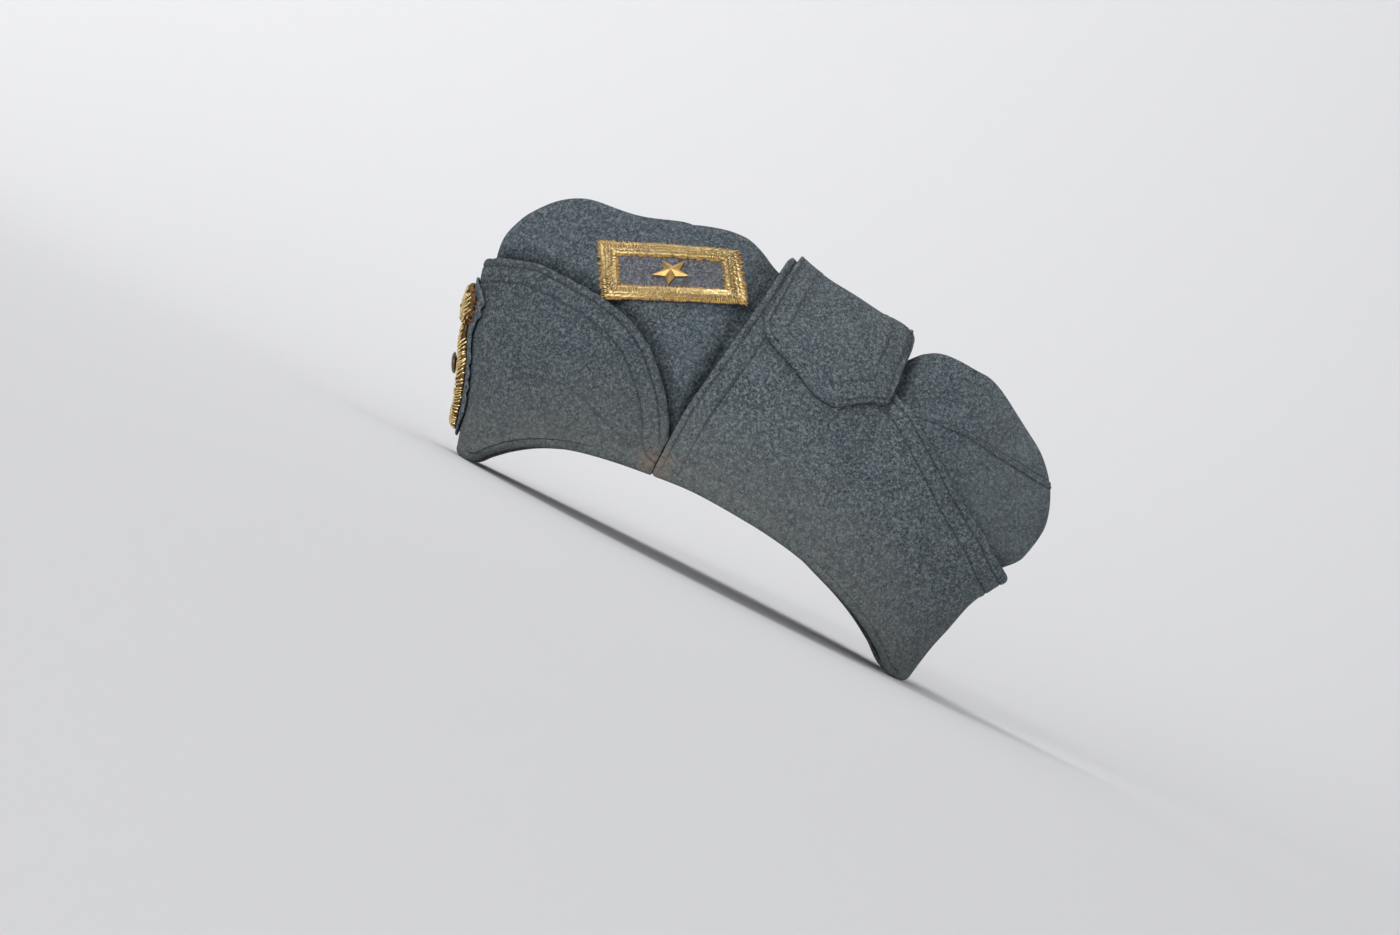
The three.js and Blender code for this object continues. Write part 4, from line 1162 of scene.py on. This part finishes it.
def lace_threads(seed):
    """Slanted threads in overlapping bands across the lace, as rows of centre, direction and length."""
    chance = np.random.default_rng(seed)
    rows = []
    for a, b in lace_sides():
        side_length = PATCH["long"] if a[1] == b[1] else PATCH["short"]
        for low, high, lean, spacing, raised in LACE_BANDS:
            count = int(side_length / spacing)
            t = (np.arange(count) + 0.5) / count
            t = t + chance.uniform(-0.2, 0.2, count) / count
            slant = lean * 0.75 / side_length
            ends = []
            for across, move in ((low, -slant), (high, slant)):
                wander = chance.uniform(-0.03, 0.03, count)
                shares = lace_place(a + (b - a) * np.clip(t + move, 0, 1)[:, None], across + wander)
                rise = 0.66 + raised + chance.uniform(-0.1, 0.1, count)
                ends.append(on_patch(shares[:, 0], shares[:, 1], ON_PATCH + rise * PATCH["braid"]))
            rows.append(np.concatenate(ends, -1))
    ends = np.concatenate(rows)
    centre, run = (ends[:, :3] + ends[:, 3:]) / 2, ends[:, 3:] - ends[:, :3]
    length = np.linalg.norm(run, axis=1) * chance.uniform(0.95, 1.1, len(run))
    return centre, unit(run), length


patch_middle = on_patch(*STAR["at"], ON_PATCH)
patch_out = unit(on_patch(*STAR["at"], ON_PATCH + 1) - patch_middle)
lay_threads(
    "rank_lace_threads", *lace_threads(51), patch_out, LACE["thick"], gold_thread, "gold_braid",
    flatness=0.9,
)


def frayed_threads(seed):
    """Loose ends that stick out of the lace's outer and inner edges."""
    chance = np.random.default_rng(seed)
    count = LACE["loose_ends"]
    sides = np.array(lace_sides())
    which = chance.choice(4, count, p=[0.36, 0.14, 0.36, 0.14])
    along = chance.uniform(0.01, 0.99, count)
    first, last = sides[which].swapaxes(0, 1)
    line = first + (last - first) * along[:, None]
    across = np.where(chance.random(count) < 0.6, 0.0, 1.0)
    reach = np.where(across == 0, -1, 1) * chance.uniform(0.04, 0.2, count)
    start = lace_place(line, across - np.sign(reach) * 0.05)
    stop = lace_place(line, across + reach) + chance.normal(0, 0.006, (count, 2))
    inner = on_patch(start[:, 0], start[:, 1], ON_PATCH + 0.45)
    outer = on_patch(stop[:, 0], stop[:, 1], ON_PATCH + chance.uniform(0.0, 0.9, count))
    run = outer - inner
    return (inner + outer) / 2, unit(run), np.linalg.norm(run, axis=1)


lay_threads(
    "rank_lace_fray", *frayed_threads(52), patch_out, LACE["loose_thick"], lace_silk, "gold_braid"
)


def star_mesh():
    """Five ridged arms on a low rim, facing out of the patch."""
    along, across = STAR["at"]
    ahead = on_patch(along - 0.1, across, ON_PATCH) - patch_middle
    up = unit(np.cross(patch_out, unit(ahead)))
    ahead = np.cross(up, patch_out)
    turn = np.arange(10) * np.pi / 5 + STAR["turn"]
    radius = np.where(np.arange(10) % 2, STAR["radius"] * STAR["inner"], STAR["radius"])
    flat = up * (radius * np.cos(turn))[:, None] + ahead * (radius * np.sin(turn))[:, None]
    centre = patch_middle + patch_out * 0.1
    low, high = centre + flat, centre + flat * 0.985 + patch_out * 0.65
    valley = centre + flat * np.where(np.arange(10) % 2, 0.9, 0.985)[:, None] + patch_out * 0.8
    points = np.concatenate([low, high, valley, [centre], [centre + patch_out * STAR["height"]]])
    faces = []
    for i in range(10):
        j = (i + 1) % 10
        faces += [[20 + j, 20 + i, 31], [10 + i, 20 + i, 20 + j, 10 + j], [i, 10 + i, 10 + j, j], [30, i, j]]
    return points, faces


rank_star = new_piece("rank_star_brass", *star_mesh(), star_brass, "star_brass", ["rank_star"])
work = bmesh.new()
work.from_mesh(rank_star.data)
bmesh.ops.recalc_face_normals(work, faces=work.faces)
sharp = [edge for edge in work.edges if edge.calc_face_angle(0) > 0.25]
bmesh.ops.bevel(
    work, geom=sharp, offset=STAR["worn"] * MM, segments=2, affect="EDGES", profile=0.5, clamp_overlap=True
)
work.to_mesh(rank_star.data)
work.free()
rank_star.data.shade_flat()

# Badge ---------------------------------------------------------------------------------------------------
# An embroidered badge of a plain generic design on a scalloped cloth backing, sewn to the front of the flap:
# two padded sprigs, a stem and a tuft of flames in gold bullion, and over a bullion roundel a dark enamelled
# disc with a brass rim, on a short shank.
BADGE = {"low": 7, "high": 72, "gap": 0.8, "backing": 1.2}
BACKING = [  # z, half width
    (7, 0.6), (11, 8), (18, 14), (28, 15), (38, 13.5), (46, 10.5), (51, 9.5), (58, 13.5), (65, 12.5),
    (72, 0.6),
]
SPRIGS = {"z": 30, "width": 9.8, "height": 18, "open": 0.75, "leaves": 14, "leaf": 3.1, "rise": 3.1}
SPRIG_REACH = np.pi - SPRIGS["open"]
ROUNDEL = {"z": 36.5, "radius": 5.4, "rise": 2.4}
DISC = {"radius": 4.3}
PLUME = {"z": 59.2, "width": 10.4, "height": 8.0, "rise": 4.0}
STEM = {"z": 47.2, "half": 5.2, "height": 7.0, "rise": 2.8}
ON_BACKING = BADGE["backing"] + 0.3
(backing_half,) = smooth(BACKING)


def on_flap(x, z, distance):
    """A place on the front of the flap, x to the left and z up, at a distance from its face."""
    x, z, distance = np.broadcast_arrays(*(np.asarray(value, float) for value in (x, z, distance)))
    angle, level = x / 45, z / 190
    for _ in range(14):
        across = form(angle, level)[..., 0]
        slope = (form(angle + 0.002, level)[..., 0] - across) / 0.002
        angle = np.clip(angle + (x - across) / np.maximum(slope, 8), -1.2, 1.2)
        height = flap_outer(angle, level)[..., 2]
        rate = (flap_outer(angle, level + 0.002)[..., 2] - height) / 0.002
        level = np.clip(level + (z - height) / np.maximum(rate, 60), 0.0, 0.62)
    return flap_outer(angle, level, BADGE["gap"] + distance)


backing_wool = wool(
    "badge backing wool", (0.016, 0.03, 0.046, 1), (0.084, 0.108, 0.134, 1), (0.23, 0.26, 0.285, 1)
)
bullion_gold = metal("bullion thread", (0.98, 0.78, 0.4, 1), (0.5, 0.33, 0.12, 1), 0.26, 420.0)
padding_gold = metal("bullion ground", (0.2, 0.13, 0.05, 1), (0.1, 0.065, 0.03, 1), 0.6, 300.0)
rim_brass = metal("disc brass", (0.34, 0.24, 0.1, 1), (0.1, 0.075, 0.04, 1), 0.36, 500.0)
enamel, _, _ = material("dark enamel", base_color=(0.012, 0.011, 0.011, 1), roughness=0.28, coat_weight=0.5)


def backing_grid(distance, columns=60, rows=150):
    """A face of the backing: eleven scallops down each side, cut unevenly, and edges that round off."""
    t = np.linspace(0, 1, rows)
    z = BADGE["low"] + (BADGE["high"] - BADGE["low"]) * t
    scallops = 1 + 0.1 * np.abs(np.sin(11 * np.pi * t)) + 0.06 * np.sin(23 * t + 1) * np.sin(61 * t)
    half = backing_half(z) * scallops
    x = (2 * np.linspace(0, 1, columns)[:, None] - 1) * half[None]
    near_edge = np.clip(1 - (half[None] - np.abs(x)) / 1.0, 0, 1)
    rounding = (1 - np.sqrt(1 - near_edge**2)) * 0.45 * BADGE["backing"]
    return on_flap(x, z[None], distance + np.where(distance > 0.5, -1, 1) * rounding)


badge_backing = new_piece(
    "badge_backing_cloth", *wall(backing_grid(BADGE["backing"]), backing_grid(0.0)),
    backing_wool, "flap_wool", ["badge_backing"],
)


def padded(centre_z, outline, base, steps, count=96):
    """A padded shape on the backing: rings of an outline given by turn, each shrunk by a share and raised."""
    turn = np.arange(count) * 2 * np.pi / count
    shape = np.array([outline(a) for a in turn])
    rings = [on_flap(shape[:, 0] * s, centre_z + shape[:, 1] * s, base + h) for s, h in steps]
    middles = [on_flap(0, centre_z, base + rise) for rise in (0, steps[-1][1] + 0.05)]
    points = np.concatenate([*rings, middles])
    after = np.roll(np.arange(count), -1)
    ring = np.append(np.arange(count), 0)
    faces = [strip(ring + r * count, ring + (r + 1) * count) for r in range(len(rings) - 1)]
    faces = np.concatenate(faces).tolist()
    low, peak, last = len(rings) * count, len(rings) * count + 1, (len(rings) - 1) * count
    faces += [[low, after[i], i] for i in range(count)]
    faces += [[peak, last + i, last + after[i]] for i in range(count)]
    return points, faces


def dome(rise, count=9, foot=0.3):
    """Shares and heights of the rings of a dome, which starts upright for a share of its rise."""
    turn = np.linspace(0, np.pi / 2, count)
    return [(1, 0), *[(max(np.cos(a), 0.04), rise * (foot + (1 - foot) * np.sin(a))) for a in turn]]


def flames(turn):
    up = max(np.sin(turn), 0)
    tips = 1 + 0.28 * up * np.cos(6 * (turn - np.pi / 2)) - 0.12 * (1 - up)
    return PLUME["width"] * tips * np.cos(turn), PLUME["height"] * tips * np.sin(turn)


def petals(turn):
    r = ROUNDEL["radius"] * (1 + 0.08 * np.cos(8 * turn))
    return r * np.cos(turn), r * np.sin(turn)


def stem_outline(turn):
    r = 1 + 0.12 * np.cos(5 * turn + 1)
    return STEM["half"] * r * np.cos(turn), STEM["height"] * r * np.sin(turn)


def round_disc(turn):
    return DISC["radius"] * np.cos(turn), DISC["radius"] * np.sin(turn)


PADDING = [  # piece, height, outline, rise, the solid that it stands for
    ("badge_plume_ground", PLUME["z"], flames, PLUME["rise"] - 0.35, ["badge_plume"]),
    ("badge_roundel_ground", ROUNDEL["z"], petals, ROUNDEL["rise"] - 0.3, ["badge_roundel"]),
    ("badge_stem_ground", STEM["z"], stem_outline, STEM["rise"] - 0.5, []),
]
for name, z, outline, rise, solids in PADDING:
    new_piece(name, *padded(z, outline, ON_BACKING, dome(rise)), padding_gold, "bullion", solids)

DISC_BASE = ON_BACKING + ROUNDEL["rise"] - 0.5
DISC_STEPS = [(0.6, 0), (0.6, 1.6), (0.92, 1.7), (1.0, 1.95), (1.0, 2.25), (0.97, 2.4), (0.95, 2.32)]
ENAMEL_STEPS = [(0.95, 2.2), *[(0.95 * s, 2.3 + 1.2 * h) for s, h in dome(1.0, foot=0.05)[1:]]]
disc_rim = padded(ROUNDEL["z"], round_disc, DISC_BASE, DISC_STEPS)
new_piece("badge_disc_rim", *disc_rim, rim_brass, "disc_brass", ["badge_disc"])
disc_enamel = padded(ROUNDEL["z"], round_disc, DISC_BASE, ENAMEL_STEPS)
new_piece("badge_disc_enamel", *disc_enamel, enamel, "disc_brass")


def sprig_place(turn, across, rise):
    """A place on the horseshoe of the two sprigs, whose width swells and narrows leaf by leaf."""
    width = SPRIGS["leaf"] * (0.72 + 0.28 * np.abs(np.sin((turn + np.pi / 2) * SPRIGS["leaves"] / 2)))
    x = (SPRIGS["width"] + width * across) * np.cos(turn)
    z = SPRIGS["z"] + (SPRIGS["height"] + width * across) * np.sin(turn)
    return on_flap(x, z, ON_BACKING + rise * SPRIGS["rise"])


def sprig_ground():
    """The padded horseshoe under the sprigs, its round ends closed."""
    share = np.linspace(-1, 1, 150)
    turn = -np.pi / 2 + SPRIG_REACH * share
    arc = np.linspace(0, np.pi, 13)
    across, rise = -np.cos(arc), np.sin(arc) * 0.86
    taper = np.sqrt(np.clip(1 - np.abs(share) ** 40, 0.04, 1))
    points = sprig_place(turn[:, None], across[None] * taper[:, None], rise[None] * taper[:, None])
    count = points.shape[1]
    index = np.arange(points.size // 3).reshape(-1, count)
    faces = tube_quads(index).tolist()
    faces += [index[0][::-1].tolist(), index[-1].tolist()]
    return points.reshape(-1, 3), faces


new_piece("badge_sprig_ground", *sprig_ground(), padding_gold, "bullion", ["badge_sprigs"])

BULLION = {"thick": 1.05, "pitch": 1.2, "step": 1.6, "sprig_rows": 64, "stray": 0.14}


def laid_over(centre_z, reach, share_at, rise, lean):
    """Bullion laid side by side over a padded shape: short runs at a lean, where share_at is under 1."""
    along = np.array([np.cos(lean), np.sin(lean)])
    across = np.array([-along[1], along[0]])
    ends = []
    for row in np.arange(-reach, reach, BULLION["pitch"]):
        steps = np.arange(-reach, reach, BULLION["step"])[:, None]
        places = row * across + steps * along
        share = share_at(places[:, 0], places[:, 1])
        height = rise * (0.3 + 0.7 * np.sqrt(1 - np.clip(share, 0, 0.995) ** 2))
        laid = on_flap(places[:, 0], centre_z + places[:, 1], ON_BACKING + height)
        kept = np.flatnonzero((share[:-1] < 1) & (share[1:] < 1))
        ends += [np.concatenate([laid[k], laid[k + 1]]) for k in kept]
    return np.array(ends)


def share_of(outline):
    """How far a place lies towards an outline, 1 on it."""
    sights = np.linspace(-np.pi, np.pi, 200)
    edge = np.array([np.hypot(*outline(sight)) for sight in sights])
    return lambda x, z: np.hypot(x, z) / np.interp(np.arctan2(z, x), sights, edge)


def bullion_rows(seed):
    """Coiled gold thread over the padding: across the sprigs, and at a lean over plume, stem and roundel."""
    chance = np.random.default_rng(seed)
    reach, count = SPRIG_REACH - 0.03, BULLION["sprig_rows"]
    turn = -np.pi / 2 + np.linspace(-reach, reach, count)
    turn = turn + chance.uniform(-0.012, 0.012, count)
    arcs = np.linspace(0.1, np.pi - 0.1, 5)
    laid = []
    for low, high in zip(arcs[:-1], arcs[1:]):
        ends = []
        for arc in (low, high):
            slant = (0.2 + 0.1 * np.sin(9 * turn)) * (arc / np.pi - 0.5) * np.sign(turn + np.pi / 2)
            ends.append(sprig_place(turn + slant, -np.cos(arc) * 0.98, np.sin(arc) * 0.95))
        laid.append(np.concatenate(ends, -1))
    laid.append(laid_over(PLUME["z"], 12, share_of(flames), PLUME["rise"], 0.85))
    laid.append(laid_over(ROUNDEL["z"], 7, share_of(petals), ROUNDEL["rise"], 0.3))
    laid.append(laid_over(STEM["z"], 9, share_of(stem_outline), STEM["rise"], 0.6))
    ends = np.concatenate(laid)
    start, stop = ends[:, :3], ends[:, 3:]
    run = stop - start
    centre = (start + stop) / 2 + chance.normal(0, BULLION["stray"], start.shape)
    length = np.linalg.norm(run, axis=1) * chance.uniform(1.15, 1.5, len(run))
    return centre, unit(run + chance.normal(0, BULLION["stray"], run.shape)), length


lay_threads(
    "badge_bullion", *bullion_rows(61), (0.0, -1.0, 0.0), BULLION["thick"], bullion_gold, "bullion",
    flatness=1.0,
)

SILK = {"ends": 28, "from": -0.9, "to": 1.5, "thick": 0.4}
orange_silk, _, _ = material("orange silk", base_color=(0.4, 0.13, 0.03, 1), roughness=0.6)


def silk_ends(seed):
    """Loose ends of silk round the plume's edge, each its own way."""
    chance = np.random.default_rng(seed)
    count = SILK["ends"]
    turn = chance.uniform(SILK["from"], SILK["to"], count)
    x = (PLUME["width"] + 0.2) * np.cos(turn)
    z = PLUME["z"] + (PLUME["height"] + 0.4) * np.sin(turn)
    centre = on_flap(x, z, BADGE["backing"] + chance.uniform(0.3, 1.6, count))
    run = unit(chance.normal(0, 1, centre.shape) + [0.3, -0.6, 0])
    return centre, run, chance.uniform(1.0, 2.4, count)


lay_threads("badge_silk_ends", *silk_ends(62), (1.0, 0.0, 0.0), SILK["thick"], orange_silk, "bullion")

# Studio --------------------------------------------------------------------------------------------------
# A pale seamless sweep, lit by a soft window in front, a weaker fill beside it and a lamp over the sweep, in
# a dim even room. The cap is seen from its left side, tilted as it is worn.
SWEEP = {"front": 2.6, "bend": -0.55, "radius": 1.1, "top": 4.2, "half": 4.0}
LAMPS = [  # name, place, target, size, power
    ("window", (3.5, -1.5, 1.0), (0, 0, 0.05), 1.3, 66),
    ("fill", (2.9, 1.2, 0.2), (0, 0, 0.03), 1.0, 23),
    ("sweep light", (-0.2, -1.3, 2.4), (-1.5, -1.0, 0.8), 1.8, 33),
]
ROOM = {"colour": (0.86, 0.87, 0.9, 1), "strength": 0.38}
EYE = {"place": (1.42, -0.0092, 0.042), "lens": 85, "near": 0.05, "roll_cos": 0.8912, "roll_sin": 0.4535}


def sweep_floor():
    """The floor, which bends up into a wall behind the cap."""
    start, radius = SWEEP["bend"], SWEEP["radius"]
    turn = np.linspace(0, np.pi / 2, 40)[1:]
    bend = [(start - radius * np.sin(a), radius - radius * np.cos(a)) for a in turn]
    line = [(SWEEP["front"], 0.0), (start, 0.0), *bend, (start - radius, SWEEP["top"])]
    mesh = bpy.data.meshes.new("sweep")
    points = [(x, y, z) for x, z in line for y in (-SWEEP["half"], SWEEP["half"])]
    faces = [(2 * i, 2 * i + 1, 2 * i + 3, 2 * i + 2) for i in range(len(line) - 1)]
    mesh.from_pydata(points, [], faces)
    mesh.shade_smooth()
    paper, _, _ = material("sweep paper", base_color=(0.8, 0.8, 0.81, 1), roughness=0.9)
    mesh.materials.append(paper)
    made = bpy.data.objects.new("sweep", mesh)
    bpy.context.scene.collection.objects.link(made)


def area_light(name, place, target, size, power):
    lamp = bpy.data.objects.new(name, bpy.data.lights.new(name, "AREA"))
    lamp.data.energy = power
    lamp.data.size = size
    aim = Vector(place) - Vector(target)
    lamp.matrix_world = Matrix.Translation(place) @ aim.to_track_quat("Z", "Y").to_matrix().to_4x4()
    bpy.context.scene.collection.objects.link(lamp)


sweep_floor()
for lamp in LAMPS:
    area_light(*lamp)
world = bpy.data.worlds.new("room")
world.use_nodes = True
world.node_tree.nodes["Background"].inputs["Color"].default_value = ROOM["colour"]
world.node_tree.nodes["Background"].inputs["Strength"].default_value = ROOM["strength"]
bpy.context.scene.world = world
bpy.context.scene.view_settings.view_transform = "Standard"

eye = bpy.data.objects.new("camera", bpy.data.cameras.new("camera"))
eye.data.lens = EYE["lens"]
eye.data.clip_start = EYE["near"]
eye_x, eye_y, eye_z = EYE["place"]
eye.matrix_world = Matrix((
    (0, 0, 1, eye_x),
    (EYE["roll_cos"], -EYE["roll_sin"], 0, eye_y),
    (EYE["roll_sin"], EYE["roll_cos"], 0, eye_z),
    (0, 0, 0, 1),
))
bpy.context.scene.collection.objects.link(eye)
bpy.context.scene.camera = eye
